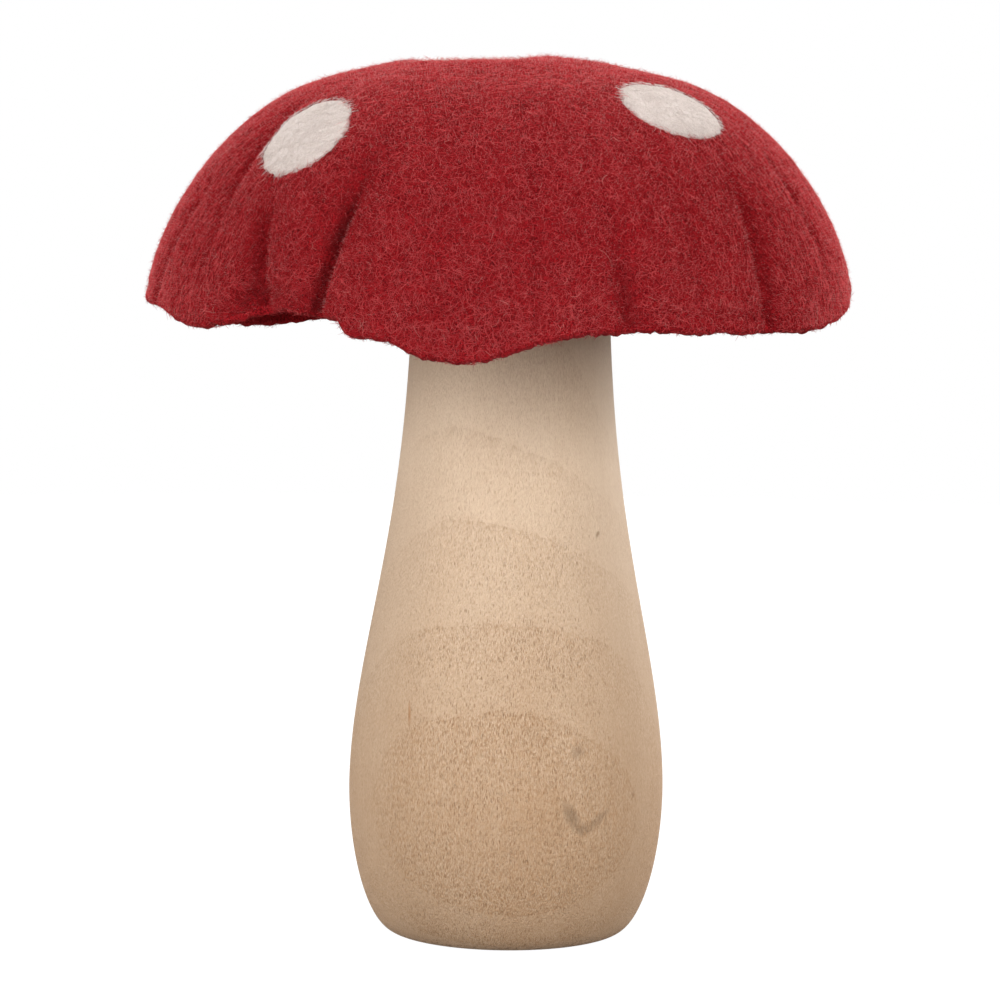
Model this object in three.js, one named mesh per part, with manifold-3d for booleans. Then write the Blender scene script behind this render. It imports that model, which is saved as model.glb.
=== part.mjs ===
// A felt mushroom ornament: a hollow red felt cap with off-white felt dots, glued on a turned wooden stem.
// Millimetres, +Z up. The origin is the centre of the stem's flat foot, and -Y is the front.
// Azimuths are in degrees about the cap's own axis, 0 at the front and growing towards +X.

import * as THREE from 'three';
import { mergeVertices } from 'three/addons/utils/BufferGeometryUtils.js';
import Module from 'manifold-3d';

const wasm = await Module();
wasm.setup();

// Stem: a flat foot, a belly, and a long taper to a slim neck with a flat top
const stemHeight = 182;
const footRadius = 23.9;
const bellyRadius = 33.6;
const bellyHeight = 30.9;
const neckRadius = 20.3;
const taperLength = 57;
const topChamfer = 1.2;
const footRoundness = 1.9;
const taperSteepness = 1.85;

// Glue: a squashed disc between the stem's top and the cap's crown
const glueRadius = 15;
const glueThickness = 1;
const glueBulge = 0.4;

// Cap: a felt shell with a flat crown, round shoulders and a wavy rim
const feltThickness = 3;
const capRadius = 74.7;
const capDepth = 54;
const crownFlatRadius = 19;
const shoulderRoundness = 1.85;
const capShift = -2.6;
const rimFlare = 6;
const rimEdgeRound = 0.9;

// Where the rim rises above its mean height or hangs below it: azimuth, and height in millimetres
const rimWaves = [
  [-172, -1.5], [-138, -5.3], [-112, -1], [-90, 3.6], [-69, 1.8], [-54, -0.7], [-44, 1], [-36, 3.7],
  [-27, 3.3], [-21, -0.9], [-6, -5.2], [-1, -4.7], [10, 0.3], [24, 1], [52, -0.8], [68, 0.8],
  [88, 5.6], [112, 0.5], [136, -3.2], [162, 1.2],
];

// Gathers in the felt: azimuth at the rim, lean towards the crown, depth, half width, and how far down they start
const gathers = [
  { azimuth: -168, lean: 3, depth: 2.6, width: 5, start: 0.55 },
  { azimuth: -143, lean: -3, depth: 3.2, width: 4.5, start: 0.5 },
  { azimuth: -116, lean: 4, depth: 2.4, width: 5.5, start: 0.6 },
  { azimuth: -99, lean: -4, depth: 1.8, width: 5, start: 0.65 },
  { azimuth: -39.5, lean: -6, depth: 2.8, width: 3.6, start: 0.68 },
  { azimuth: -27.8, lean: 9, depth: 4.2, width: 4.2, start: 0.5 },
  { azimuth: 20.3, lean: 0, depth: 2.2, width: 4, start: 0.7 },
  { azimuth: 45.6, lean: -4, depth: 2.8, width: 4.5, start: 0.6 },
  { azimuth: 104, lean: -4, depth: 3, width: 4.5, start: 0.55 },
  { azimuth: 130, lean: 3, depth: 2, width: 5.5, start: 0.6 },
  { azimuth: 158, lean: -3, depth: 3, width: 4.5, start: 0.5 },
];
const gatherFade = 0.25;

// Dots: thin discs of felt set flush into the cap. The crown's dot is a little off the cap's axis,
// and each side dot is placed by how far its middle lies in from the cap's greatest radius.
const dotDiameter = 23.4;
const dotThickness = 1.2;
const dotClearance = 0.3;
const crownDotReach = 6.2;
const frontLeftInset = 19.2;
const frontRightInset = 27.2;
const backLeftInset = 23;
const backRightInset = 19;
const dots = [
  { name: 'dot_crown', azimuth: -90, reach: crownDotReach },
  { name: 'dot_front_left', azimuth: -45, reach: capRadius - frontLeftInset },
  { name: 'dot_front_right', azimuth: 46.5, reach: capRadius - frontRightInset },
  { name: 'dot_back_left', azimuth: -136, reach: capRadius - backLeftInset },
  { name: 'dot_back_right', azimuth: 137, reach: capRadius - backRightInset },
];

// How finely the curved faces are cut
const stemSides = 56;
const footRings = 8;
const taperRings = 13;
const crownShare = 0.2;
const capRings = 6;
const columnSpacing = 9;
const shoulderReach = 1.5;
const dotSides = 18;
const glueSides = 32;

const red = new THREE.MeshStandardMaterial({ color: '#a62b32', roughness: 0.95, metalness: 0 });
const offWhite = new THREE.MeshStandardMaterial({ color: '#ddd0cb', roughness: 0.95, metalness: 0 });
const paleWood = new THREE.MeshStandardMaterial({ color: '#c6ab8e', roughness: 0.65, metalness: 0 });
const clearGlue = new THREE.MeshStandardMaterial({ color: '#d9d2c0', roughness: 0.4, metalness: 0 });

const radians = THREE.MathUtils.degToRad;
const smooth = THREE.MathUtils.smoothstep;
const rimTurn = radians(90 - rimFlare);

// The stem's radius at a height
function stemRadius(height) {
  if (height < bellyHeight) {
    const drop = (1 - height / bellyHeight) ** footRoundness;
    return footRadius + (bellyRadius - footRadius) * (1 - drop) ** (1 / footRoundness);
  }
  const climb = ((height - bellyHeight) / taperLength) ** taperSteepness;
  return neckRadius + (bellyRadius - neckRadius) * Math.exp(-climb);
}

function stemGeometry() {
  const profile = [new THREE.Vector2(0, 0)];
  for (let i = 0; i < footRings; i += 1) {
    const height = bellyHeight * (1 - Math.cos((i / footRings) * Math.PI / 2));
    profile.push(new THREE.Vector2(stemRadius(height), height));
  }
  const shoulder = stemHeight - topChamfer;
  for (let i = 0; i <= taperRings; i += 1) {
    const height = bellyHeight + (shoulder - bellyHeight) * (i / taperRings);
    profile.push(new THREE.Vector2(stemRadius(height), height));
  }
  profile.push(new THREE.Vector2(stemRadius(shoulder) - topChamfer, stemHeight));
  profile.push(new THREE.Vector2(0, stemHeight));
  return new THREE.LatheGeometry(profile, stemSides).rotateX(Math.PI / 2);
}

function glueGeometry() {
  const profile = [
    new THREE.Vector2(0, 0),
    new THREE.Vector2(glueRadius, 0),
    new THREE.Vector2(glueRadius + glueBulge, glueThickness / 2),
    new THREE.Vector2(glueRadius, glueThickness),
    new THREE.Vector2(0, glueThickness),
  ];
  return new THREE.LatheGeometry(profile, glueSides).rotateX(Math.PI / 2);
}

// The cap's own frame has its origin on the underside of the crown, where the glue holds it.
// The rim's height at an azimuth, eased from each wave to the next
function rimHeight(azimuth) {
  const meanRim = feltThickness - capDepth;
  const turned = THREE.MathUtils.euclideanModulo(azimuth + 180, 360) - 180;
  for (let i = 0; i < rimWaves.length; i += 1) {
    const [from, low] = rimWaves[i];
    const [to, high] = rimWaves[(i + 1) % rimWaves.length];
    const span = THREE.MathUtils.euclideanModulo(to - from, 360);
    const along = THREE.MathUtils.euclideanModulo(turned - from, 360);
    if (along <= span) {
      return meanRim + low + (high - low) * smooth(along / span, 0, 1);
    }
  }
  return meanRim;
}

// The smooth cap's radius and height, before the gathers: t runs from 0 at the crown to 1 at the rim
function meridian(azimuth, t) {
  if (t <= crownShare) {
    return new THREE.Vector2(crownFlatRadius * t / crownShare, feltThickness);
  }
  const turn = Math.min((t - crownShare) / (1 - crownShare), 1) * rimTurn;
  const power = 2 / shoulderRoundness;
  const rim = rimHeight(azimuth);
  const lowest = Math.cos(rimTurn) ** power;
  return new THREE.Vector2(
    crownFlatRadius + (capRadius - crownFlatRadius) * (Math.sin(turn) / Math.sin(rimTurn)) ** power,
    rim + (feltThickness - rim) * (Math.cos(turn) ** power - lowest) / (1 - lowest),
  );
}

// How deep the gathers pull the felt in at a place on the cap
function gatherDepth(azimuth, t, radius) {
  let depth = 0;
  for (const gather of gathers) {
    const line = gather.azimuth + gather.lean * (1 - t);
    const apart = THREE.MathUtils.euclideanModulo(azimuth - line + 180, 360) - 180;
    const across = radians(apart) * radius / gather.width;
    depth += gather.depth * Math.exp(-across * across) * smooth(t, gather.start, gather.start + gatherFade);
  }
  return depth;
}

// A point on the cap's outer face
function capPoint(azimuth, t) {
  const step = 0.004;
  const here = meridian(azimuth, t);
  const along = meridian(azimuth, Math.min(t + step, 1)).sub(meridian(azimuth, Math.max(t - step, 0))).normalize();
  const depth = gatherDepth(azimuth, t, here.x);
  const radius = here.x + along.y * depth;
  const height = here.y - along.x * depth;
  const turn = radians(azimuth);
  return new THREE.Vector3(radius * Math.sin(turn), -radius * Math.cos(turn), height);
}

// The directions out of the felt and down along it
function capDirections(azimuth, t) {
  if (t < crownShare) {
    const turn = radians(azimuth);
    return { out: new THREE.Vector3(0, 0, 1), down: new THREE.Vector3(Math.sin(turn), -Math.cos(turn), 0) };
  }
  const side = 0.5;
  const step = 0.01;
  const across = capPoint(azimuth + side, t).sub(capPoint(azimuth - side, t));
  const down = capPoint(azimuth, Math.min(t + step, 1)).sub(capPoint(azimuth, t - step)).normalize();
  return { out: down.clone().cross(across).normalize(), down };
}

// A point inside the felt, at a depth below its outer face
function feltPoint(azimuth, t, depth, past = 0) {
  const { out, down } = capDirections(azimuth, t);
  return capPoint(azimuth, t).addScaledVector(out, -depth).addScaledVector(down, past);
}

// Columns of the cap's faces: three to each gather, and even ones between
function capColumns() {
  const lines = [];
  for (const gather of gathers) {
    const reach = THREE.MathUtils.radToDeg(shoulderReach * gather.width / capRadius);
    for (const side of [-reach, 0, reach]) {
      lines.push({ azimuth: gather.azimuth + side, lean: gather.lean });
    }
  }
  const columns = [];
  lines.forEach((line, i) => {
    const next = lines[(i + 1) % lines.length];
    const gap = THREE.MathUtils.euclideanModulo(next.azimuth - line.azimuth, 360);
    const parts = Math.max(1, Math.round(gap / columnSpacing));
    for (let k = 0; k < parts; k += 1) {
      const share = k / parts;
      columns.push({
        azimuth: line.azimuth + gap * share,
        lean: line.lean + (next.lean - line.lean) * share,
      });
    }
  });
  return columns;
}

// A closed layer of the cap between two depths below its outer face
function capLayer(outerDepth, innerDepth) {
  const columns = capColumns();
  const rows = [0];
  for (let i = 0; i <= capRings; i += 1) {
    rows.push(crownShare + (1 - crownShare) * (i / capRings));
  }
  const points = [];
  const triangles = [];
  const addPoint = (point) => points.push(point.x, point.y, point.z) / 3 - 1;
  const addRing = (t, depth, past) => columns.map(
    (column) => addPoint(feltPoint(column.azimuth + column.lean * (1 - t), t, depth, past)),
  );
  const addStrip = (above, below) => above.forEach((corner, i) => {
    const j = (i + 1) % above.length;
    triangles.push(corner, below[i], below[j], corner, below[j], above[j]);
  });
  const addFan = (apex, ring, turn) => ring.forEach((corner, i) => {
    const next = ring[(i + 1) % ring.length];
    triangles.push(...(turn ? [apex, next, corner] : [apex, corner, next]));
  });

  const outerApex = addPoint(feltPoint(0, 0, outerDepth));
  const outer = rows.slice(1).map((t) => addRing(t, outerDepth));
  const edge = addRing(1, (outerDepth + innerDepth) / 2, rimEdgeRound);
  const inner = rows.slice(1).map((t) => addRing(t, innerDepth));
  const innerApex = addPoint(feltPoint(0, 0, innerDepth));
  addFan(outerApex, outer[0], false);
  outer.slice(1).forEach((ring, i) => addStrip(outer[i], ring));
  addStrip(outer.at(-1), edge);
  addStrip(edge, inner.at(-1));
  inner.slice(1).forEach((ring, i) => addStrip(ring, inner[i]));
  addFan(innerApex, inner[0], true);

  return new wasm.Manifold(new wasm.Mesh({
    numProp: 3,
    vertProperties: new Float32Array(points),
    triVerts: new Uint32Array(triangles),
  }));
}

// A round punch through the cap at a dot's place, square to the felt there
function dotPunch(dot, radius) {
  const t = dotPlace(dot.reach);
  const { out } = capDirections(dot.azimuth, t);
  const geometry = new THREE.CylinderGeometry(radius, radius, dotDiameter, dotSides);
  geometry.applyQuaternion(new THREE.Quaternion().setFromUnitVectors(new THREE.Vector3(0, 1, 0), out));
  geometry.translate(...capPoint(dot.azimuth, t));
  return solidFrom(geometry);
}

// The place along the cap, from 0 at the crown to 1 at the rim, at a reach from its axis
function dotPlace(reach) {
  if (reach <= crownFlatRadius) {
    return crownShare * reach / crownFlatRadius;
  }
  const share = (reach - crownFlatRadius) / (capRadius - crownFlatRadius);
  const turn = Math.asin(share ** (shoulderRoundness / 2) * Math.sin(rimTurn));
  return crownShare + (1 - crownShare) * turn / rimTurn;
}

function solidFrom(geometry) {
  const bare = geometry.clone();
  bare.deleteAttribute('normal');
  bare.deleteAttribute('uv');
  const merged = mergeVertices(bare);
  return new wasm.Manifold(new wasm.Mesh({
    numProp: 3,
    vertProperties: new Float32Array(merged.attributes.position.array),
    triVerts: new Uint32Array(merged.index.array),
  }));
}

function geometryFrom(solid) {
  const mesh = solid.getMesh();
  const geometry = new THREE.BufferGeometry();
  geometry.setAttribute('position', new THREE.BufferAttribute(mesh.vertProperties, 3));
  geometry.setIndex(new THREE.BufferAttribute(mesh.triVerts, 1));
  geometry.computeVertexNormals();
  return geometry;
}

function named(name, geometry, material) {
  const mesh = new THREE.Mesh(geometry, material);
  mesh.name = name;
  return mesh;
}

const mushroom = new THREE.Group();
mushroom.add(named('stem', stemGeometry(), paleWood));

const glue = named('glue_pad', glueGeometry(), clearGlue);
glue.position.z = stemHeight;
mushroom.add(glue);

const capGroup = new THREE.Group();
capGroup.position.set(capShift, 0, stemHeight + glueThickness);
mushroom.add(capGroup);

let shell = capLayer(0, feltThickness);
const dotLayer = capLayer(0, dotThickness);
const recessLayer = capLayer(-dotClearance, dotThickness + dotClearance);
for (const dot of dots) {
  const disc = dotLayer.intersect(dotPunch(dot, dotDiameter / 2));
  const recess = recessLayer.intersect(dotPunch(dot, dotDiameter / 2 + dotClearance));
  shell = shell.subtract(recess);
  capGroup.add(named(dot.name, geometryFrom(disc), offWhite));
}
capGroup.add(named('cap', geometryFrom(shell), red));

export default mushroom;
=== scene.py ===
"""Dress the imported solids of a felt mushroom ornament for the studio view.

The ornament is a hollow shell of red wet-felted wool with off-white felt dots, held by a spot of
hot-melt glue on a turned stem of pale, open-pored wood. Sizes in the classes are millimetres and
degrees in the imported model's frame: +Z up, -Y the front, azimuth 0 at the front towards +X.
"""

import logging
import math
from dataclasses import dataclass, field
from enum import Enum
from typing import Any

import bpy
import numpy as np
from mathutils import Matrix, Vector


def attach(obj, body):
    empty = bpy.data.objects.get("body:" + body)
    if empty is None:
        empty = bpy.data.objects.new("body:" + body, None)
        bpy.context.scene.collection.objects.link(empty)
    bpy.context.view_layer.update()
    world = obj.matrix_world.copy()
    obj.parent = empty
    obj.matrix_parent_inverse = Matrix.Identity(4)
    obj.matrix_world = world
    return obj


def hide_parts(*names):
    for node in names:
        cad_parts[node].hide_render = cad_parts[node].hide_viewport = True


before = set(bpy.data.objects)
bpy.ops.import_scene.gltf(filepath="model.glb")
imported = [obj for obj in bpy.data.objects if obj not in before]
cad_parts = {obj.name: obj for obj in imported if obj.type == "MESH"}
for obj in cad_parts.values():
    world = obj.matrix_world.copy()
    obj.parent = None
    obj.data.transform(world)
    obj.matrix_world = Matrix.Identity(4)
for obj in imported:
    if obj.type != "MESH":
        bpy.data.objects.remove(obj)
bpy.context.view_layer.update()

LOG = logging.getLogger("mushroom")
MM = 0.001
BODY = "root"

MATH = "ShaderNodeMath"
VECTOR_MATH = "ShaderNodeVectorMath"
MAP_RANGE = "ShaderNodeMapRange"
NOISE = "ShaderNodeTexNoise"
SPLIT_XYZ = "ShaderNodeSeparateXYZ"
JOIN_XYZ = "ShaderNodeCombineXYZ"
PRINCIPLED = "ShaderNodeBsdfPrincipled"
COLOUR_RAMP = "ShaderNodeValToRGB"

Levels = tuple[tuple[float, float], ...]
Size = tuple[float, float, float]


def linear(hex_colour: str) -> tuple[float, float, float, float]:
    """Turn an sRGB hex colour into the linear RGBA that shaders take.

    Args:
        hex_colour: A colour such as "#a62b32".

    Returns:
        Linear red, green, blue and an alpha of 1.
    """
    parts = [int(hex_colour[i : i + 2], 16) / 255 for i in (1, 3, 5)]
    red, green, blue = (p / 12.92 if p <= 0.04045 else ((p + 0.055) / 1.055) ** 2.4 for p in parts)
    return red, green, blue, 1.0


def add_node(
    tree: Any, kind: str, settings: dict[Any, Any] | None = None, links: dict[Any, Any] | None = None
) -> Any:
    """Add one node with its settings and links.

    Args:
        tree: The node tree that gets the node.
        kind: The node's type name.
        settings: Values by property name, or by input name or number.
        links: Output sockets by the input name or number that they feed.

    Returns:
        The new node.
    """
    node = tree.nodes.new(kind)
    for name, value in (settings or {}).items():
        if isinstance(name, str) and hasattr(node, name):
            setattr(node, name, value)
        else:
            node.inputs[name].default_value = value
    for name, source in (links or {}).items():
        tree.links.new(source, node.inputs[name])
    return node


def new_material(name: str) -> tuple[Any, Any]:
    """Make a material with an empty node tree and an output node.

    Args:
        name: The material's name.

    Returns:
        The material and its output node.
    """
    material = bpy.data.materials.new(name)
    material.use_nodes = True
    material.node_tree.nodes.clear()
    return material, add_node(material.node_tree, "ShaderNodeOutputMaterial")


def smoothstep(value: np.ndarray, low: float, high: float) -> np.ndarray:
    """Ease from 0 at low to 1 at high."""
    share = np.clip((value - low) / (high - low), 0, 1)
    return share * share * (3 - 2 * share)


def unit(vectors: np.ndarray) -> np.ndarray:
    """Scale vectors along the last axis to length 1."""
    return vectors / np.maximum(np.linalg.norm(vectors, axis=-1, keepdims=True), 1e-12)


def unevenness(points: np.ndarray, spacing: tuple[float, float], seed: int, waves: int = 40) -> np.ndarray:
    """Sum seeded waves through space into a smooth random height with a spread of about 1.

    Args:
        points: Places in millimetres, with x, y and z along the last axis.
        spacing: The shortest and longest wavelength in millimetres.
        seed: The random seed.
        waves: How many waves are summed.

    Returns:
        A height for each point.
    """
    rng = np.random.default_rng(seed)
    headings = unit(rng.normal(size=(waves, 3)))
    lengths = np.exp(rng.uniform(math.log(spacing[0]), math.log(spacing[1]), waves))
    phases = rng.uniform(0, 2 * math.pi, waves)
    total = np.zeros(points.shape[:-1])
    for heading, length, phase in zip(headings, lengths, phases):
        total += np.sin(points @ heading * (2 * math.pi / length) + phase)
    return total * math.sqrt(2 / waves)


def mesh_piece(name: str, points: np.ndarray, faces: np.ndarray, material: Any) -> Any:
    """Make one smooth-shaded piece that rides on the part's body.

    Args:
        name: The piece's name.
        points: Vertices in millimetres, one row each.
        faces: Corner numbers, one row of three or four each, where a last corner of -1 makes a triangle.
        material: The finish.

    Returns:
        The new object.
    """
    corners = (faces >= 0).sum(axis=1)
    starts = np.concatenate([[0], np.cumsum(corners)[:-1]])
    mesh = bpy.data.meshes.new(name)
    mesh.vertices.add(len(points))
    mesh.vertices.foreach_set("co", (points * MM).astype(np.float32).ravel())
    mesh.loops.add(int(corners.sum()))
    mesh.loops.foreach_set("vertex_index", faces[faces >= 0].astype(np.int32))
    mesh.polygons.add(len(faces))
    mesh.polygons.foreach_set("loop_start", starts.astype(np.int32))
    mesh.polygons.foreach_set("use_smooth", np.ones(len(faces), bool))
    mesh.update(calc_edges=True)
    mesh.validate()
    mesh.materials.append(material)
    piece = bpy.data.objects.new(name, mesh)
    bpy.context.scene.collection.objects.link(piece)
    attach(piece, BODY)
    LOG.info("%s: %d faces", name, len(faces))
    return piece


def grid_faces(rows: int, columns: int, start: int = 0) -> np.ndarray:
    """Join rings of vertices, each closed on itself, into four-cornered faces.

    Args:
        rows: How many rings there are.
        columns: How many vertices each ring has.
        start: The first ring's first vertex.

    Returns:
        Corner numbers, one row to a face, facing out where rings run anticlockwise and downwards.
    """
    row, column = np.meshgrid(np.arange(rows - 1), np.arange(columns), indexing="ij")
    after = (column + 1) % columns
    above, below = start + row * columns, start + (row + 1) * columns
    return np.stack([above + column, below + column, below + after, above + after], axis=-1).reshape(-1, 4)


def fan_faces(middle: int, ring: int, columns: int, turned: bool) -> np.ndarray:
    """Close a ring of vertices on a middle vertex.

    Args:
        middle: The middle vertex.
        ring: The ring's first vertex.
        columns: How many vertices the ring has.
        turned: Whether the faces look the other way.

    Returns:
        Corner numbers of triangles, each with a last corner of -1.
    """
    here = ring + np.arange(columns)
    after = ring + (np.arange(columns) + 1) % columns
    sides = (after, here) if turned else (here, after)
    return np.stack([np.full(columns, middle), *sides, np.full(columns, -1)], axis=-1)


def closed_shell(rings: list[np.ndarray], columns: int, ends: np.ndarray) -> tuple[np.ndarray, np.ndarray]:
    """Join rings into a skin that is closed on a vertex at each end.

    Args:
        rings: Rings of vertices in millimetres, from the first end to the last.
        columns: How many vertices each ring has.
        ends: The vertex before the first ring and the one after the last.

    Returns:
        The vertices and the faces' corner numbers.
    """
    points = np.concatenate([np.concatenate(rings), ends])
    first_end = len(rings) * columns
    last_ring = (len(rings) - 1) * columns
    faces = np.concatenate([
        grid_faces(len(rings), columns),
        fan_faces(first_end, 0, columns, False),
        fan_faces(first_end + 1, last_ring, columns, True),
    ])
    return points, faces


@dataclass(frozen=True)
class WetFelt:
    """Wet-felted wool: matted fibres that scatter light with no gloss, darker in the pits between them.

    The mat is drawn as pits the width of a few fibres and soft clouds where the wool was laid
    thicker, coloured with painted shade: dark in the pits, lighter on the raised wool. Its fuzz gives the
    pale sheen that shows where the felt turns away from the eye.
    """

    name: str
    pit: str
    body: str
    raised: str
    sheen: float
    sheen_tint: str
    pit_width: float = 0.32
    cloud_width: float = 7.0
    cloud_share: float = 0.14
    pit_level: float = 0.37
    raised_level: float = 0.63
    relief: float = 0.12

    def material(self) -> Any:
        """Build the shader."""
        material, output = new_material(self.name)
        tree = material.node_tree
        place = add_node(tree, "ShaderNodeTexCoord").outputs["Object"]
        pits = add_node(
            tree, NOISE,
            {"Scale": 1 / (self.pit_width * MM), "Detail": 3.0, "Roughness": 0.6}, {"Vector": place},
        )
        clouds = add_node(
            tree, NOISE, {"Scale": 1 / (self.cloud_width * MM), "Detail": 2.0}, {"Vector": place}
        )
        depth = add_node(
            tree, MATH, {"operation": "MULTIPLY_ADD", 1: self.cloud_share, 2: -self.cloud_share / 2},
            {0: clouds.outputs["Fac"]},
        )
        height = add_node(tree, MATH, {"operation": "ADD"}, {0: pits.outputs["Fac"], 1: depth.outputs[0]})
        # Painted shade: the ramp darkens the colour in the pits and lightens it on the raised wool.
        ramp = add_node(tree, COLOUR_RAMP, {}, {"Fac": height.outputs[0]})
        stops = ramp.color_ramp.elements
        stops[0].position, stops[0].color = self.pit_level, linear(self.pit)
        stops[1].position, stops[1].color = self.raised_level, linear(self.raised)
        middle = stops.new(0.5)
        middle.color = linear(self.body)
        bump = add_node(
            tree, "ShaderNodeBump", {"Strength": 1.0, "Distance": self.relief * MM},
            {"Height": height.outputs[0]},
        )
        shader = add_node(
            tree, PRINCIPLED,
            {
                "Roughness": 1.0, "IOR": 1.5, "Specular IOR Level": 0.0,
                "Sheen Weight": self.sheen, "Sheen Roughness": 0.45, "Sheen Tint": linear(self.sheen_tint),
            },
            {"Base Color": ramp.outputs["Color"], "Normal": bump.outputs["Normal"]},
        )
        tree.links.new(shader.outputs[0], output.inputs["Surface"])
        return material


@dataclass(frozen=True)
class WoolFibre:
    """A dyed or undyed wool fibre: plain colour, a soft sheen along it and no hard gloss."""

    name: str
    colour: str
    gloss: float = 0.05
    sheen: float = 0.05
    sheen_tint: str = "#ffffff"

    def material(self) -> Any:
        """Build the shader, which is the same all over the fibre."""
        material, output = new_material(self.name)
        shader = add_node(
            material.node_tree, PRINCIPLED,
            {
                "Base Color": linear(self.colour), "Roughness": 0.85, "IOR": 1.54,
                "Specular IOR Level": self.gloss, "Sheen Weight": self.sheen, "Sheen Roughness": 0.5,
                "Sheen Tint": linear(self.sheen_tint),
            },
        )
        material.node_tree.links.new(shader.outputs[0], output.inputs["Surface"])
        return material


@dataclass(frozen=True)
class HotMeltGlue:
    """Hot-melt glue, set to a milky and slightly waxy blob with a soft gloss."""

    name: str = "hot_melt_glue_set"
    colour: str = "#d9d2c0"

    def material(self) -> Any:
        """Build the shader, which is the same all over the blob."""
        material, output = new_material(self.name)
        shader = add_node(
            material.node_tree, PRINCIPLED,
            {
                "Base Color": linear(self.colour), "Roughness": 0.35, "IOR": 1.48,
                "Subsurface Weight": 0.3, "Subsurface Scale": 0.002,
            },
        )
        material.node_tree.links.new(shader.outputs[0], output.inputs["Surface"])
        return material


@dataclass(frozen=True)
class Mark:
    """A stain, knot or fleck on the wood's surface: its middle, half sizes, turn and strength."""

    middle: tuple[float, float, float]
    half: tuple[float, float, float]
    turn: float
    strength: float
    colour: str


@dataclass(frozen=True)
class OpenPoredWood:
    """Light ring-porous wood such as paulownia, turned and sanded, with no varnish.

    The block's growth rings are upright cylinders round a pith just behind the stem's own axis,
    so the turned face cuts them as flat arches. Each ring starts with a thin brown line and a
    crowd of open pores, cut lengthwise into short upright dashes, and then runs out into dense
    and paler wood. The sanded face is matt. Its finest grain is too fine to show, so it is
    drawn as dimples a sixth of a millimetre wide.
    """

    name: str = "open_pored_wood_sanded"
    pale: str = "#e9cfb3"
    tan: str = "#bb926b"
    line: str = "#a5774c"
    pore: str = "#a87344"
    # Painted shade along the foot's bottom edge.
    foot_edge_shade: str = "#7d5138"
    pith_middle: tuple[float, float] = (-0.45, 8.2)
    pith_lean: tuple[float, float] = (0.026, -0.033)
    first_ring: float = 27.1
    ring_spacing: float = 3.68
    slow_warp: float = 0.5
    slow_size: Size = (14.0, 14.0, 45.0)
    quick_warp: float = 0.3
    quick_size: Size = (3.5, 3.5, 14.0)
    trunk_length: float = 130.0
    growth_shift: Levels = (
        (0.0, 0.39), (0.385, 0.39), (0.523, 0.41), (0.692, 0.81), (0.754, 0.46), (0.838, 0.2), (1.0, 0.19),
    )
    growth_slope: Levels = (
        (0.0, 0.0), (0.385, 0.02), (0.523, 0.08), (0.692, 0.055), (0.838, 0.045), (1.0, 0.04),
    )
    long_pore: tuple[float, float] = (0.38, 1.9)
    long_crowd: Levels = ((0.0, 0.85), (0.2, 0.8), (0.5, 0.5), (0.8, 0.32), (1.0, 0.32))
    long_darkest: float = 0.62
    short_pore: tuple[float, float] = (0.3, 0.8)
    short_crowd: float = 0.6
    short_darkest: float = 0.4
    dimple: Size = (0.17, 0.17, 0.8)
    dimple_crowd: Levels = ((0.0, 1.0), (0.3, 0.95), (0.7, 0.55), (1.0, 0.6))
    early_tan: Levels = ((0.0, 0.07), (0.3, 0.06), (0.62, 0.03), (0.9, 0.0), (1.0, 0.02))
    cloud: Size = (13.0, 13.0, 34.0)
    streak: Size = (0.7, 0.7, 18.0)
    line_levels: Levels = (
        (0.0, 0.2), (0.03, 0.12), (0.07, 0.04), (0.25, 0.01), (0.5, 0.0), (0.98, 0.0), (1.0, 0.14),
    )
    dash: Size = (1.1, 1.1, 4.0)
    speck: Size = (0.8, 0.8, 0.6)
    mark_edge: Size = (0.7, 0.7, 1.6)
    relief: float = 0.38
    usual_radius: float = 28.0
    marks: tuple[Mark, ...] = ()

    def material(self) -> Any:
        """Build the shader."""
        material, output = new_material(self.name)
        tree = material.node_tree
        metres = add_node(tree, "ShaderNodeTexCoord").outputs["Object"]
        place = add_node(
            tree, VECTOR_MATH, {"operation": "SCALE", "Scale": 1 / MM}, {0: metres}
        ).outputs[0]
        ring = self.ring_share(tree, place)
        dimples = self.stretched_noise(tree, place, self.dimple, 2.0)
        cut = self.flat_cut(tree, place)
        tone = self.tone(tree, place, ring, dimples, cut)
        colour = self.blend(tree, tone, linear(self.pale), linear(self.tan))
        crowd = self.levels(tree, ring, self.long_crowd)
        long_ones = self.pore_share(tree, place, self.long_pore, crowd, self.long_darkest)
        short_ones = self.pore_share(tree, place, self.short_pore, self.short_crowd, self.short_darkest)
        darkest = add_node(tree, MATH, {"operation": "MAXIMUM"}, {0: long_ones, 1: short_ones}).outputs[0]
        height = add_node(tree, SPLIT_XYZ, {}, {0: place}).outputs[2]
        finer = add_node(
            tree, MAP_RANGE, {"From Min": 105.0, "From Max": 60.0, "To Min": 0.45, "To Max": 1.0},
            {"Value": height},
        ).outputs[0]
        shown = add_node(tree, MATH, {"operation": "MULTIPLY"}, {0: finer, 1: cut}).outputs[0]
        pores = add_node(tree, MATH, {"operation": "MULTIPLY"}, {0: darkest, 1: shown}).outputs[0]
        lines = add_node(
            tree, MATH, {"operation": "MULTIPLY"}, {0: self.line_share(tree, place, ring), 1: cut}
        ).outputs[0]
        shares = [(lines, self.line), (pores, self.pore)]
        # Painted shade: dark specks along the foot's bottom edge, where it meets the floor.
        shares.append((self.foot_edge_shade_share(tree, place), self.foot_edge_shade))
        shares += [(self.mark_share(tree, place, mark), mark.colour) for mark in self.marks]
        for share, hue in shares:
            colour = self.blend(tree, share, colour, linear(hue))

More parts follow.
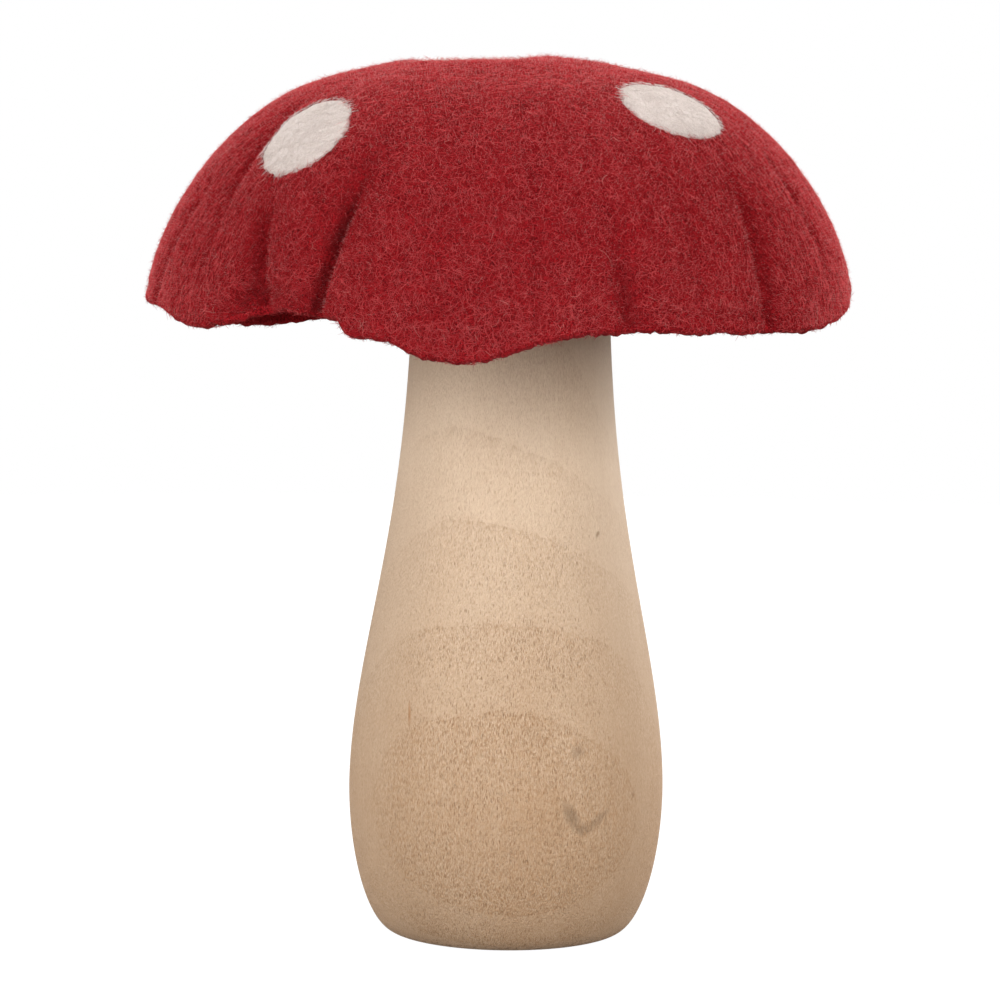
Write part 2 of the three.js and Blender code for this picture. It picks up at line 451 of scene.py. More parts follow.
        pressed = add_node(tree, MATH, {"operation": "MULTIPLY_ADD", 1: -1.0}, {0: pores, 2: dimples})
        bump = add_node(
            tree, "ShaderNodeBump", {"Strength": 1.0, "Distance": self.relief * MM},
            {"Height": pressed.outputs[0]},
        )
        shader = add_node(
            tree, PRINCIPLED,
            {"Roughness": 0.7, "IOR": 1.5, "Specular IOR Level": 0.3},
            {"Base Color": colour, "Normal": bump.outputs["Normal"]},
        )
        tree.links.new(shader.outputs[0], output.inputs["Surface"])
        return material

    def blend(self, tree: Any, share: Any, first: Any, second: tuple[float, ...]) -> Any:
        """Mix a colour, given or from a socket, towards a second by a share, and return the output."""
        mix = add_node(tree, "ShaderNodeMix", {"data_type": "RGBA", 7: second}, {0: share})
        if isinstance(first, tuple):
            mix.inputs[6].default_value = first
        else:
            tree.links.new(first, mix.inputs[6])
        return mix.outputs[2]

    def stretched_noise(self, tree: Any, place: Any, size: Size, detail: float) -> Any:
        """Add a noise whose grain has the given size in millimetres, and return its output."""
        scaled = add_node(
            tree, VECTOR_MATH, {"operation": "MULTIPLY", 1: tuple(1 / s for s in size)}, {0: place}
        )
        noise = add_node(tree, NOISE, {"Scale": 1.0, "Detail": detail}, {"Vector": scaled.outputs[0]})
        return noise.outputs["Fac"]

    def levels(self, tree: Any, value: Any, stops: Levels) -> Any:
        """Read a level from a value by a list of places and levels, and return the output."""
        ramp = add_node(tree, COLOUR_RAMP, {}, {"Fac": value})
        elements = ramp.color_ramp.elements
        for element, (position, level) in zip(elements, (stops[0], stops[-1])):
            element.position, element.color = position, (level, level, level, 1)
        for position, level in stops[1:-1]:
            elements.new(position).color = (level, level, level, 1)
        return ramp.outputs["Color"]

    def flat_cut(self, tree: Any, place: Any) -> Any:
        """Add how far the face runs along the rings, where their pores show most, and return its output."""
        apart = add_node(
            tree, VECTOR_MATH, {"operation": "SUBTRACT", 1: (*self.pith_middle, 0.0)}, {0: place}
        ).outputs[0]
        level = add_node(tree, VECTOR_MATH, {"operation": "MULTIPLY", 1: (1.0, 1.0, 0.0)}, {0: apart})
        heading = add_node(tree, VECTOR_MATH, {"operation": "NORMALIZE"}, {0: level.outputs[0]})
        front = add_node(tree, SPLIT_XYZ, {}, {0: heading.outputs[0]}).outputs[1]
        along = add_node(tree, MATH, {"operation": "ABSOLUTE"}, {0: front})
        return add_node(
            tree, MAP_RANGE, {"From Min": 0.72, "From Max": 0.97, "To Min": 0.35, "To Max": 1.0},
            {"Value": along.outputs[0]},
        ).outputs[0]

    def tone(self, tree: Any, place: Any, ring: Any, dimples: Any, cut: Any) -> Any:
        """Add how tan the wood is, from 0 to 1: by the ring, clouds, streaks and dimples, a little tanner
        towards the right, and tanner towards the foot as painted shade.

        Args:
            tree: The material's node tree.
            place: The place in millimetres.
            ring: The place within a growth ring.
            dimples: The noise of the sanded grain.
            cut: How far the face runs along the rings.

        Returns:
            The output socket.
        """
        split = add_node(tree, SPLIT_XYZ, {}, {0: place})
        # Painted shade: the wood turns tanner down the stem towards the foot, where less light falls; a small
        # term also makes it tanner towards the right.
        low = add_node(
            tree, MAP_RANGE, {"From Min": 105.0, "From Max": 30.0, "To Min": -0.17, "To Max": 0.44},
            {"Value": split.outputs[2]},
        ).outputs[0]
        low = add_node(
            tree, MATH, {"operation": "MULTIPLY_ADD", 1: 0.001}, {0: split.outputs[0], 2: low}
        ).outputs[0]
        early = self.levels(tree, ring, self.early_tan)
        early = add_node(tree, MATH, {"operation": "MULTIPLY"}, {0: early, 1: cut}).outputs[0]
        cloud = self.stretched_noise(tree, place, self.cloud, 1.0)
        streaks = self.stretched_noise(tree, place, self.streak, 2.0)
        crowd = self.levels(tree, ring, self.dimple_crowd)
        speckle = add_node(
            tree, MATH, {"operation": "MULTIPLY_ADD", 1: 1.5, 2: -0.75}, {0: dimples}
        ).outputs[0]
        rough = add_node(tree, MATH, {"operation": "MULTIPLY_ADD", 1: 0.45, 2: 0.55}, {0: cut})
        coarse = add_node(
            tree, MAP_RANGE, {"From Min": 105.0, "From Max": 45.0, "To Min": 0.8, "To Max": 1.3},
            {"Value": split.outputs[2]},
        )
        for factor in (rough.outputs[0], crowd, coarse.outputs[0]):
            speckle = add_node(tree, MATH, {"operation": "MULTIPLY"}, {0: speckle, 1: factor}).outputs[0]
        total = low
        for part, weight in ((early, 1.0), (cloud, 0.26), (streaks, 0.22), (speckle, 1.0)):
            total = add_node(
                tree, MATH, {"operation": "MULTIPLY_ADD", 1: weight}, {0: part, 2: total}
            ).outputs[0]
        return total

    def ring_share(self, tree: Any, place: Any) -> Any:
        """Add the place within a growth ring, from 0 at its line to 1 at the next.

        Args:
            tree: The material's node tree.
            place: The place in millimetres.

        Returns:
            The output socket.
        """
        along = add_node(tree, SPLIT_XYZ, {}, {0: place})
        middles = [
            add_node(tree, MATH, {"operation": "MULTIPLY_ADD", 1: lean, 2: middle}, {0: along.outputs[2]})
            for lean, middle in zip(self.pith_lean, self.pith_middle)
        ]
        pith = add_node(tree, JOIN_XYZ, {}, {0: middles[0].outputs[0], 1: middles[1].outputs[0]})
        flat = add_node(tree, VECTOR_MATH, {"operation": "MULTIPLY", 1: (1.0, 1.0, 0.0)}, {0: place})
        reach = add_node(
            tree, VECTOR_MATH, {"operation": "DISTANCE"}, {0: flat.outputs[0], 1: pith.outputs[0]}
        ).outputs["Value"]
        reach = self.uneven_growth(tree, along, reach)
        slow = self.stretched_noise(tree, place, self.slow_size, 0.0)
        quick = self.stretched_noise(tree, place, self.quick_size, 2.0)
        for warp, size in ((slow, self.slow_warp), (quick, self.quick_warp)):
            reach = add_node(
                tree, MATH, {"operation": "MULTIPLY_ADD", 1: size}, {0: warp, 2: reach}
            ).outputs[0]
        start = self.first_ring + (self.slow_warp + self.quick_warp) / 2
        count = add_node(
            tree, MATH,
            {"operation": "MULTIPLY_ADD", 1: 1 / self.ring_spacing, 2: -start / self.ring_spacing},
            {0: reach},
        )
        return add_node(tree, MATH, {"operation": "FRACT"}, {0: count.outputs[0]}).outputs[0]

    def uneven_growth(self, tree: Any, along: Any, reach: Any) -> Any:
        """Shift the rings by the tree's uneven growth, up it and to the right, and return the reach."""
        share = add_node(
            tree, MATH, {"operation": "MULTIPLY", 1: 1 / self.trunk_length}, {0: along.outputs[2]}
        ).outputs[0]
        shift = self.levels(tree, share, self.growth_shift)
        slope = self.levels(tree, share, self.growth_slope)
        beside = add_node(tree, MATH, {"operation": "SUBTRACT", 1: 2.0}, {0: along.outputs[0]})
        beside = add_node(tree, MATH, {"operation": "MAXIMUM", 1: 0.0}, {0: beside.outputs[0]})
        reach = add_node(tree, MATH, {"operation": "MULTIPLY_ADD", 1: 1.6}, {0: shift, 2: reach})
        reach = add_node(tree, MATH, {"operation": "SUBTRACT", 1: 0.8}, {0: reach.outputs[0]})
        return add_node(
            tree, MATH, {"operation": "MULTIPLY_ADD"}, {0: beside.outputs[0], 1: slope, 2: reach.outputs[0]}
        ).outputs[0]

    def line_share(self, tree: Any, place: Any, ring: Any) -> Any:
        """Add the thin brown line at the start of each ring, broken into dashes, and return its output."""
        line = self.levels(tree, ring, self.line_levels)
        dashes = self.stretched_noise(tree, place, self.dash, 1.0)
        strong = add_node(
            tree, MAP_RANGE, {"From Min": 0.4, "From Max": 0.62, "To Min": 0.0, "To Max": 1.15},
            {"Value": dashes},
        )
        return add_node(tree, MATH, {"operation": "MULTIPLY"}, {0: line, 1: strong.outputs[0]}).outputs[0]

    def pore_share(
        self, tree: Any, place: Any, size: tuple[float, float], crowd: Any, darkest: float
    ) -> Any:
        """Add pores cut lengthwise, as upright dashes of uneven strength.

        Args:
            tree: The material's node tree.
            place: The place in millimetres.
            size: How far apart the pores are round the stem and up it, in millimetres.
            crowd: The share of places with a pore, as a number or a socket.
            darkest: The strength of the darkest.

        Returns:
            The output socket.
        """
        split = add_node(tree, SPLIT_XYZ, {}, {0: place})
        front = add_node(tree, MATH, {"operation": "MULTIPLY", 1: -1.0}, {0: split.outputs[1]})
        turn = add_node(tree, MATH, {"operation": "ARCTAN2"}, {0: split.outputs[0], 1: front.outputs[0]})
        round_it = add_node(
            tree, MATH, {"operation": "MULTIPLY", 1: self.usual_radius / size[0]}, {0: turn.outputs[0]}
        )
        upward = add_node(tree, MATH, {"operation": "MULTIPLY", 1: 1 / size[1]}, {0: split.outputs[2]})
        face = add_node(tree, JOIN_XYZ, {}, {0: round_it.outputs[0], 1: upward.outputs[0]})
        cells = add_node(
            tree, "ShaderNodeTexVoronoi", {"voronoi_dimensions": "2D", "Scale": 1.0, "Randomness": 1.0},
            {"Vector": face.outputs[0]},
        )
        chance = add_node(tree, "ShaderNodeSeparateColor", {}, {0: cells.outputs["Color"]})
        open_here = add_node(tree, MATH, {"operation": "LESS_THAN"}, {0: chance.outputs[0]})
        if isinstance(crowd, float):
            open_here.inputs[1].default_value = crowd
        else:
            tree.links.new(crowd, open_here.inputs[1])
        strength = add_node(
            tree, MATH, {"operation": "MULTIPLY_ADD", 1: 0.7 * darkest, 2: 0.3 * darkest},
            {0: chance.outputs[1]},
        )
        inside = add_node(
            tree, MAP_RANGE, {"From Min": 0.28, "From Max": 0.12, "To Min": 0.0},
            {"Value": cells.outputs["Distance"], "To Max": strength.outputs[0]},
        )
        return add_node(
            tree, MATH, {"operation": "MULTIPLY"}, {0: inside.outputs[0], 1: open_here.outputs[0]}
        ).outputs[0]

    def foot_edge_shade_share(self, tree: Any, place: Any) -> Any:
        """Add dark specks along the foot's bottom edge, painted shade where it meets the floor, and return
        their output.
        """
        height = add_node(tree, SPLIT_XYZ, {}, {0: place}).outputs[2]
        near = add_node(
            tree, MAP_RANGE, {"From Min": 2.4, "From Max": 0.6, "To Min": 0.0, "To Max": 1.0},
            {"Value": height},
        )
        specks = self.stretched_noise(tree, place, self.speck, 2.0)
        dark = add_node(
            tree, MAP_RANGE, {"From Min": 0.56, "From Max": 0.66, "To Min": 0.0, "To Max": 0.75},
            {"Value": specks},
        )
        return add_node(
            tree, MATH, {"operation": "MULTIPLY"}, {0: near.outputs[0], 1: dark.outputs[0]}
        ).outputs[0]

    def mark_share(self, tree: Any, place: Any, mark: Mark) -> Any:
        """Add one mark's soft and uneven patch, and return its output."""
        local = add_node(
            tree, "ShaderNodeMapping",
            {
                "vector_type": "TEXTURE", "Location": mark.middle,
                "Rotation": (0.0, math.radians(mark.turn), 0.0), "Scale": mark.half,
            },
            {"Vector": place},
        )
        ball = add_node(tree, VECTOR_MATH, {"operation": "LENGTH"}, {0: local.outputs[0]})
        ragged = self.stretched_noise(tree, place, self.mark_edge, 2.0)
        spread = add_node(
            tree, MATH, {"operation": "MULTIPLY_ADD", 1: 0.9}, {0: ragged, 2: ball.outputs["Value"]}
        )
        soft = add_node(
            tree, MAP_RANGE, {"From Min": 1.5, "From Max": 0.7, "To Min": 0.0, "To Max": mark.strength},
            {"Value": spread.outputs[0]},
        )
        return soft.outputs[0]


@dataclass
class TurnedStem:
    """The wooden stem: a flat foot, a belly, and a long taper to a slim neck with a flat top."""

    height: float = 182.0
    foot_radius: float = 23.9
    belly_radius: float = 33.6
    belly_height: float = 30.9
    neck_radius: float = 20.3
    taper_length: float = 57.0
    top_chamfer: float = 1.2
    foot_roundness: float = 1.9
    taper_steepness: float = 1.85
    sides: int = 224
    belly_rings: int = 44
    taper_rings: int = 110

    def radius(self, height: np.ndarray) -> np.ndarray:
        """Give the stem's radius at each height."""
        drop = (1 - np.clip(height / self.belly_height, 0, 1)) ** self.foot_roundness
        swell = (1 - drop) ** (1 / self.foot_roundness)
        belly = self.foot_radius + (self.belly_radius - self.foot_radius) * swell
        climb = (np.clip(height - self.belly_height, 0, None) / self.taper_length) ** self.taper_steepness
        taper = self.neck_radius + (self.belly_radius - self.neck_radius) * np.exp(-climb)
        return np.where(height < self.belly_height, belly, taper)

    def build(self, wood: OpenPoredWood) -> Any:
        """Turn the stem and give it its wood.

        Args:
            wood: The finish.

        Returns:
            The piece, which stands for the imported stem.
        """
        low = self.belly_height * (1 - np.cos(np.linspace(0, math.pi / 2, self.belly_rings)))
        shoulder = self.height - self.top_chamfer
        heights = np.concatenate([low, np.linspace(self.belly_height, shoulder, self.taper_rings)[1:]])
        radii = self.radius(heights)
        heights = np.append(heights, self.height)
        radii = np.append(radii, radii[-1] - self.top_chamfer)
        turn = np.linspace(0, 2 * math.pi, self.sides, endpoint=False)
        heights, radii = heights[::-1, None], radii[::-1, None]
        levels = np.broadcast_to(heights, (len(heights), self.sides))
        rings = np.stack([radii * np.cos(turn), radii * np.sin(turn), levels], axis=-1)
        ends = np.array([[0, 0, self.height], [0, 0, 0]])
        points, faces = closed_shell(list(rings), self.sides, ends)
        piece = mesh_piece("stem_turned", points, faces, wood.material())
        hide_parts("stem")
        return piece


@dataclass
class GlueSpot:
    """The squashed blob of glue between the stem's top and the cap's crown."""

    base: float = 182.0
    thickness: float = 1.0
    radius: float = 15.0
    inset: float = 0.5
    unevenness: float = 0.9
    lump_size: tuple[float, float] = (9.0, 30.0)
    least_radius: float = 13.0
    bulge: float = 0.4
    sides: int = 72
    rings: int = 7
    seed: int = 5

    def build(self, glue: HotMeltGlue) -> Any:
        """Squash the blob to an uneven round outline.

        Args:
            glue: The finish.

        Returns:
            The piece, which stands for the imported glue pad.
        """
        turn = np.linspace(0, 2 * math.pi, self.sides, endpoint=False)
        circle = np.stack([np.cos(turn), np.sin(turn), np.zeros_like(turn)], axis=-1)
        lumps = unevenness(circle * self.radius, self.lump_size, self.seed)
        outline = self.radius - self.inset + self.unevenness * lumps / 2
        outline = np.clip(outline, self.least_radius, self.radius)
        rings = []
        for share in np.linspace(1, 0, self.rings):
            reach = outline + self.bulge * math.sin(math.pi * share)
            rings.append(circle * reach[:, None] + [0, 0, self.base + self.thickness * share])
        ends = np.array([[0, 0, self.base + self.thickness], [0, 0, self.base]])
        points, faces = closed_shell(rings, self.sides, ends)
        piece = mesh_piece("glue_spot", points, faces, glue.material())
        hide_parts("glue_pad")
        return piece


@dataclass(frozen=True)
class Gather:
    """A crease where the felt is drawn in, between two shares down the cap."""

    azimuth: float
    lean: float
    depth: float
    width: float
    start: float
    end: float = 1.5


@dataclass(frozen=True)
class Swell:
    """A place where the felt was pulled out, or pressed in where the height is below 0."""

    place: tuple[float, float]
    reach: float
    height: float


@dataclass
class FeltCap:
    """The hollow felt cap, and the surface that its dots and fibres lie on."""

    thickness: float = 3.0
    radius: float = 74.7
    depth: float = 54.0
    flat_radius: float = 19.0
    roundness: float = 1.85
    shift: float = -2.6
    flare: float = 6.0
    edge_round: float = 0.9
    underside: float = 183.0
    flat_share: float = 0.2
    gather_fade: float = 0.25
    slope_length: float = 82.0
    rim_waves: tuple[tuple[float, float], ...] = (
        (-172, -1.5), (-152, -1.2), (-145, -4.2), (-140, -5.5), (-134, -5.9), (-126, -5.0), (-110, 0.0),
        (-91, 2.2), (-69, 2.1), (-62, 0.2), (-56, -0.6), (-50, 0.2), (-45.5, 1.9), (-41, 3.7), (-36, 4.1),
        (-32, 3.3), (-28.5, 3.0), (-25.8, 2.8), (-23.9, -0.4), (-20, -0.9), (-16, -2.0), (-12, -4.1),
        (-5, -5.4), (0, -4.1), (4.5, -2.2), (9, -0.5), (14, 0.3), (24, 1.1), (32, 0.2), (37, 0.5), (41, -0.1),
        (47, 0.1), (58, -0.4), (64, 0.2), (70.5, 1.1), (78.5, 2.7), (86, 5.0), (94, 5.2), (112, 0.5),
        (136, -3.2), (162, 1.2),
    )
    gathers: tuple[Gather, ...] = (
        Gather(-168, 3, 2.6, 1.7, 0.55),
        Gather(-143, -3, 3.2, 1.5, 0.5),
        Gather(-116, 4, 2.4, 1.8, 0.6),
        Gather(-99, -4, 1.6, 1.8, 0.65),
        Gather(-73, 24, 1.0, 1.6, 0.62),
        Gather(-53.5, -14, 1.2, 1.9, 0.42, 0.8),
        Gather(-39.9, -14, 3.5, 1.9, 0.7, 0.97),
        Gather(-41.5, -16, 0.8, 2.2, 0.6),
        Gather(-29.9, 12.5, 4.7, 1.8, 0.57),
        Gather(-10.6, 4, 0.7, 1.4, 0.7),
        Gather(5.3, 3, 0.9, 1.2, 0.62),
        Gather(20.8, -6, 2.5, 2.4, 0.7),
        Gather(33.6, 0, 0.8, 1.7, 0.55, 0.9),
        Gather(47.3, 3, 2.5, 2.4, 0.58),
        Gather(68, -4, 0.6, 1.7, 0.55, 0.9),
        Gather(104, -4, 2.6, 1.6, 0.55),
        Gather(130, 3, 1.9, 1.9, 0.6),
        Gather(158, -3, 2.8, 1.6, 0.5),
    )
    crease_share: float = 0.65
    dip_spread: float = 2.8
    inner_softening: float = 2.2
    swells: tuple[Swell, ...] = (
        Swell((7.5, -2.0), 6.0, 0.7),
        Swell((44.0, -38.0), 16.0, 0.8),
        Swell((68.0, -3.0), 13.0, -0.6),
        Swell((-70.0, -4.0), 14.0, -0.45),
        Swell((-8.0, 0.0), 30.0, -0.35),
        Swell((-12.0, -2.0), 14.0, -0.5),
        Swell((20.0, -2.0), 9.0, -0.4),
    )
    crown_sag: float = 1.1
    sag_radius: float = 30.0
    sag_reach: float = 11.0
    hem_height: float = 2.4
    hem_depth: float = 0.45
    hem_width: float = 0.7
    hem_roll: float = 2.8
    tuck: tuple[float, float] = (-41.5, 8.0)
    right_groove: tuple[float, float] = (38.0, 16.0)
    lump: float = 0.05
    lump_size: tuple[float, float] = (4.0, 14.0)
    ragged: float = 0.18
    ragged_size: tuple[float, float] = (1.4, 6.0)
    edge_steps: int = 9
    columns: int = 840
    rows: int = 76
    finer: int = 2
    dense_rows: int = 18
    seed: int = 11
    dots: list[Any] = field(default_factory=list)

    def __post_init__(self) -> None:
        """Lay out the fine grid of points and normals that everything on the felt is placed by."""
        self.rim_turn = math.radians(90 - self.flare)
        self.power = 2 / self.roundness
        azimuths = np.arange(self.columns) * 360 / self.columns - 180
        downs = np.linspace(0, 1, self.rows * self.finer + 1)
        azimuth, down = np.meshgrid(azimuths, downs, indexing="ij")
        smooth = self.smooth_point(azimuth, down, 0.0)
        normals = self.grid_normals(smooth)
        lumps = unevenness(smooth, self.lump_size, self.seed) * self.lump
        lumps[:, 0] = lumps[:, 0].mean()
        self.points = smooth + normals * lumps[..., None]
        self.normals = self.grid_normals(self.points)
        inside = self.smooth_point(azimuth, down, self.inner_softening)
        self.inside_normals = self.grid_normals(inside)
        self.inside = inside - self.inside_normals * self.thickness

    def rim_height(self, azimuth: np.ndarray) -> np.ndarray:
        """Give the rim's height over the cap's own underside, on a smooth curve through its waves."""
        waves = self.rim_waves
        height = np.zeros_like(azimuth, dtype=float)
        for index, (start, low) in enumerate(waves):
            before = waves[index - 1]
            after = waves[(index + 1) % len(waves)]
            later = waves[(index + 2) % len(waves)]
            span = (after[0] - start) % 360
            leave = (after[1] - before[1]) / ((after[0] - before[0]) % 360) * span
            arrive = (later[1] - low) / ((later[0] - start) % 360) * span
            along = (azimuth - start) % 360
            share = along / span
            curve = low * (1 + 2 * share) * (1 - share) ** 2 + after[1] * share**2 * (3 - 2 * share)
            curve += leave * share * (1 - share) ** 2 - arrive * share**2 * (1 - share)
            height = np.where(along <= span, curve, height)
        return self.thickness - self.depth + self.edge_round + height

    def meridian(self, azimuth: np.ndarray, down: np.ndarray) -> tuple[np.ndarray, np.ndarray]:
        """Give the smooth cap's radius and height, with down from 0 at the crown to 1 at the rim."""
        turn = np.clip((down - self.flat_share) / (1 - self.flat_share), 0, 1) * self.rim_turn
        reach = (np.sin(turn) / math.sin(self.rim_turn)) ** self.power
        lowest = math.cos(self.rim_turn) ** self.power
        rim = self.rim_height(azimuth)
        radius = self.flat_radius + (self.radius - self.flat_radius) * reach
        height = rim + (self.thickness - rim) * (np.cos(turn) ** self.power - lowest) / (1 - lowest)
        flat = down <= self.flat_share
        return (
            np.where(flat, self.flat_radius * down / self.flat_share, radius),
            np.where(flat, self.thickness, height),
        )

    def gather_depth(
        self, azimuth: np.ndarray, down: np.ndarray, radius: np.ndarray, softer: float
    ) -> np.ndarray:
        """Give how deep the gathers draw the felt in.

        Args:
            azimuth: Azimuths in degrees.
            down: Shares down the cap.
            radius: Distances from the cap's axis.
            softer: How much wider the creases are, as on the felt's inner face.

        Returns:
            Depths in millimetres: a narrow crease in a wide and shallow dip.
        """
        total = np.zeros_like(radius)
        half_fade = self.gather_fade / 2
        for gather in self.gathers:
            line = gather.azimuth + gather.lean * (1 - down)
            apart = (azimuth - line + 180) % 360 - 180
            across = np.abs(np.radians(apart)) * radius / (gather.width + softer)
            dip = self.crease_share * np.exp(-(across**2))
            dip = dip + (1 - self.crease_share) * np.exp(-((across / self.dip_spread) ** 2))
            shown = smoothstep(down, gather.start, gather.start + self.gather_fade)
            shown = shown * smoothstep(-down, -gather.end - half_fade, -gather.end + half_fade)
            total += gather.depth * dip * shown
        return total

    def hem(self, azimuth: np.ndarray, down: np.ndarray) -> np.ndarray:
        """Give how deep the felt lies along the rim: in a faint groove, and tucked in at the left."""
        tucked, right = (
            np.exp(-(((azimuth - middle) / width) ** 2)) for middle, width in (self.tuck, self.right_groove)
        )
        above = (1 - down) * self.slope_length
        height = self.hem_height * (1 + 1.1 * tucked)
        across = np.exp(-(((above - height) / self.hem_width) ** 2))
        groove = self.hem_depth * (0.3 + 0.7 * tucked + 0.9 * right) * across
        return groove + self.hem_roll * tucked * smoothstep(height - above, -0.4, 0.6 * height)

    def swelling(self, azimuth: np.ndarray, radius: np.ndarray) -> np.ndarray:
        """Give how far the felt stands out of its even shape, by hand-made unevenness."""
        turn = np.radians(azimuth)
        x, y = self.shift + radius * np.sin(turn), -radius * np.cos(turn)
        total = -self.crown_sag * np.exp(-(((radius - self.sag_radius) / self.sag_reach) ** 2))
        for swell in self.swells:
            apart = np.hypot(x - swell.place[0], y - swell.place[1]) / swell.reach
            total += swell.height * np.exp(-apart * apart)
        return total

    def smooth_point(self, azimuth: np.ndarray, down: np.ndarray, softer: float) -> np.ndarray:
        """Give the cap's outer face with its gathers and rim waves, without the wool's own lumps.

        Args:
            azimuth: Azimuths in degrees.
            down: Shares down the cap, from 0 at the crown to 1 at the rim.
            softer: How much wider the creases are, as on the felt's inner face.

        Returns:
            Points in millimetres.
        """
        step = 0.004
        radius, height = self.meridian(azimuth, down)
        after = self.meridian(azimuth, np.minimum(down + step, 1))
        before = self.meridian(azimuth, np.maximum(down - step, 0))
        run, drop = after[0] - before[0], after[1] - before[1]
        length = np.hypot(run, drop)
        depth = self.gather_depth(azimuth, down, radius, softer) - self.swelling(azimuth, radius)
        if softer == 0:
            depth = depth + self.hem(azimuth, down)
        radius = radius + drop / length * depth
        height = height - run / length * depth
        turn = np.radians(azimuth)
        return np.stack([
            self.shift + radius * np.sin(turn), -radius * np.cos(turn), self.underside + height,
        ], axis=-1)

    def grid_normals(self, points: np.ndarray) -> np.ndarray:
        """Give the outward normals of a grid of points on the cap."""
        around = np.roll(points, -1, axis=0) - np.roll(points, 1, axis=0)
        downward = np.gradient(points, axis=1)
        normals = unit(np.cross(downward, around))
        normals[:, 0] = (0, 0, 1)
        return normals

    def place(self, points: np.ndarray) -> tuple[np.ndarray, np.ndarray, np.ndarray]:
        """Find where points near the felt lie on it.

        Args:
            points: Places in millimetres.

        Returns:
            The azimuth, the share down the cap, and whether the point hangs past the rim.
        """
        x, y = points[..., 0] - self.shift, points[..., 1]
        azimuth = np.degrees(np.arctan2(x, -y))
        radius = np.hypot(x, y)
        rim = self.rim_height(azimuth)
        lowest = math.cos(self.rim_turn) ** self.power
        reach = np.clip((radius - self.flat_radius) / (self.radius - self.flat_radius), 0, None)
        fall = (points[..., 2] - self.underside - rim) / (self.thickness - rim)
        sine = reach ** (1 / self.power) * math.sin(self.rim_turn)
        cosine = np.clip(fall * (1 - lowest) + lowest, 0, None) ** (1 / self.power)
        turn = np.arctan2(sine, cosine)
        side = self.flat_share + (1 - self.flat_share) * turn / self.rim_turn
        down = np.where(radius < self.flat_radius, self.flat_share * radius / self.flat_radius, side)
        return azimuth, np.clip(down, 0, 1), fall < 0

    def sample(
        self, azimuth: np.ndarray, down: np.ndarray, inner: bool = False
    ) -> tuple[np.ndarray, np.ndarray]:
        """Read one of the felt's faces between the grid's points.

        Args:
            azimuth: Azimuths in degrees.
            down: Shares down the cap, from 0 to 1.
            inner: Whether to read the inner face.

        Returns:
            Points and outward normals.
        """
        count, last = self.points.shape[0], self.points.shape[1] - 1
        column = (azimuth + 180) % 360 * count / 360
        row = down * last
        left, top = np.floor(column).astype(int), np.minimum(np.floor(row).astype(int), last - 1)
        right_share, low_share = (column - left)[..., None], (row - top)[..., None]
        left = left % count
        right = (left + 1) % count
        found = []
        for grid in (self.inside, self.inside_normals) if inner else (self.points, self.normals):
            upper = grid[left, top] * (1 - right_share) + grid[right, top] * right_share
            lower = grid[left, top + 1] * (1 - right_share) + grid[right, top + 1] * right_share
            found.append(upper * (1 - low_share) + lower * low_share)
        return found[0], unit(found[1])

    def downhill(self, azimuth: np.ndarray, normals: np.ndarray) -> np.ndarray:
        """Give the direction straight down the felt at each azimuth, along its face."""
        turn = np.radians(azimuth)
        radial = np.stack([np.sin(turn), -np.cos(turn), np.zeros_like(azimuth)], axis=-1)
        return unit(radial - normals * (radial * normals).sum(axis=-1, keepdims=True))

    def build(self, felt: WetFelt) -> Any:
        """Build the shell, sunk under its dots, with a rounded rim and a smooth inside.

        Args:
            felt: The finish.

        Returns:
            The piece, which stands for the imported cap.
        """
        last = self.points.shape[1] - 1
        dense = last - self.dense_rows
        rows = np.append(np.arange(0, dense, self.finer), np.arange(dense, last + 1))
        outer = self.points[:, rows]
        normals = self.normals[:, rows]
        sunk = np.zeros(outer.shape[:2])
        for dot in self.dots:
            sunk = np.maximum(sunk, dot.recess(outer))
        outer = outer - normals * sunk[..., None]
        inner = self.inside[:, rows[::-4][::-1]]
        down = unit(outer[:, -1] - outer[:, -3])
        across = inner[:, -1] - outer[:, -1]
        proud = self.edge_round + self.ragged * unevenness(outer[:, -1], self.ragged_size, self.seed + 1)
        edge = []
        for angle in np.linspace(0, math.pi, self.edge_steps)[1:-1]:
            reach = (proud * math.sin(angle))[:, None]
            edge.append(outer[:, -1] + across * (1 - math.cos(angle)) / 2 + down * reach)
        rings = [outer[:, i] for i in range(1, outer.shape[1])] + edge
        rings += [inner[:, i] for i in range(inner.shape[1] - 1, 0, -1)]
        ends = np.array([outer[:, 0].mean(axis=0), inner[:, 0].mean(axis=0)])
        points, faces = closed_shell(rings, self.columns, ends)
        piece = mesh_piece("cap_felt", points, faces, felt.material())
        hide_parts("cap")
        return piece


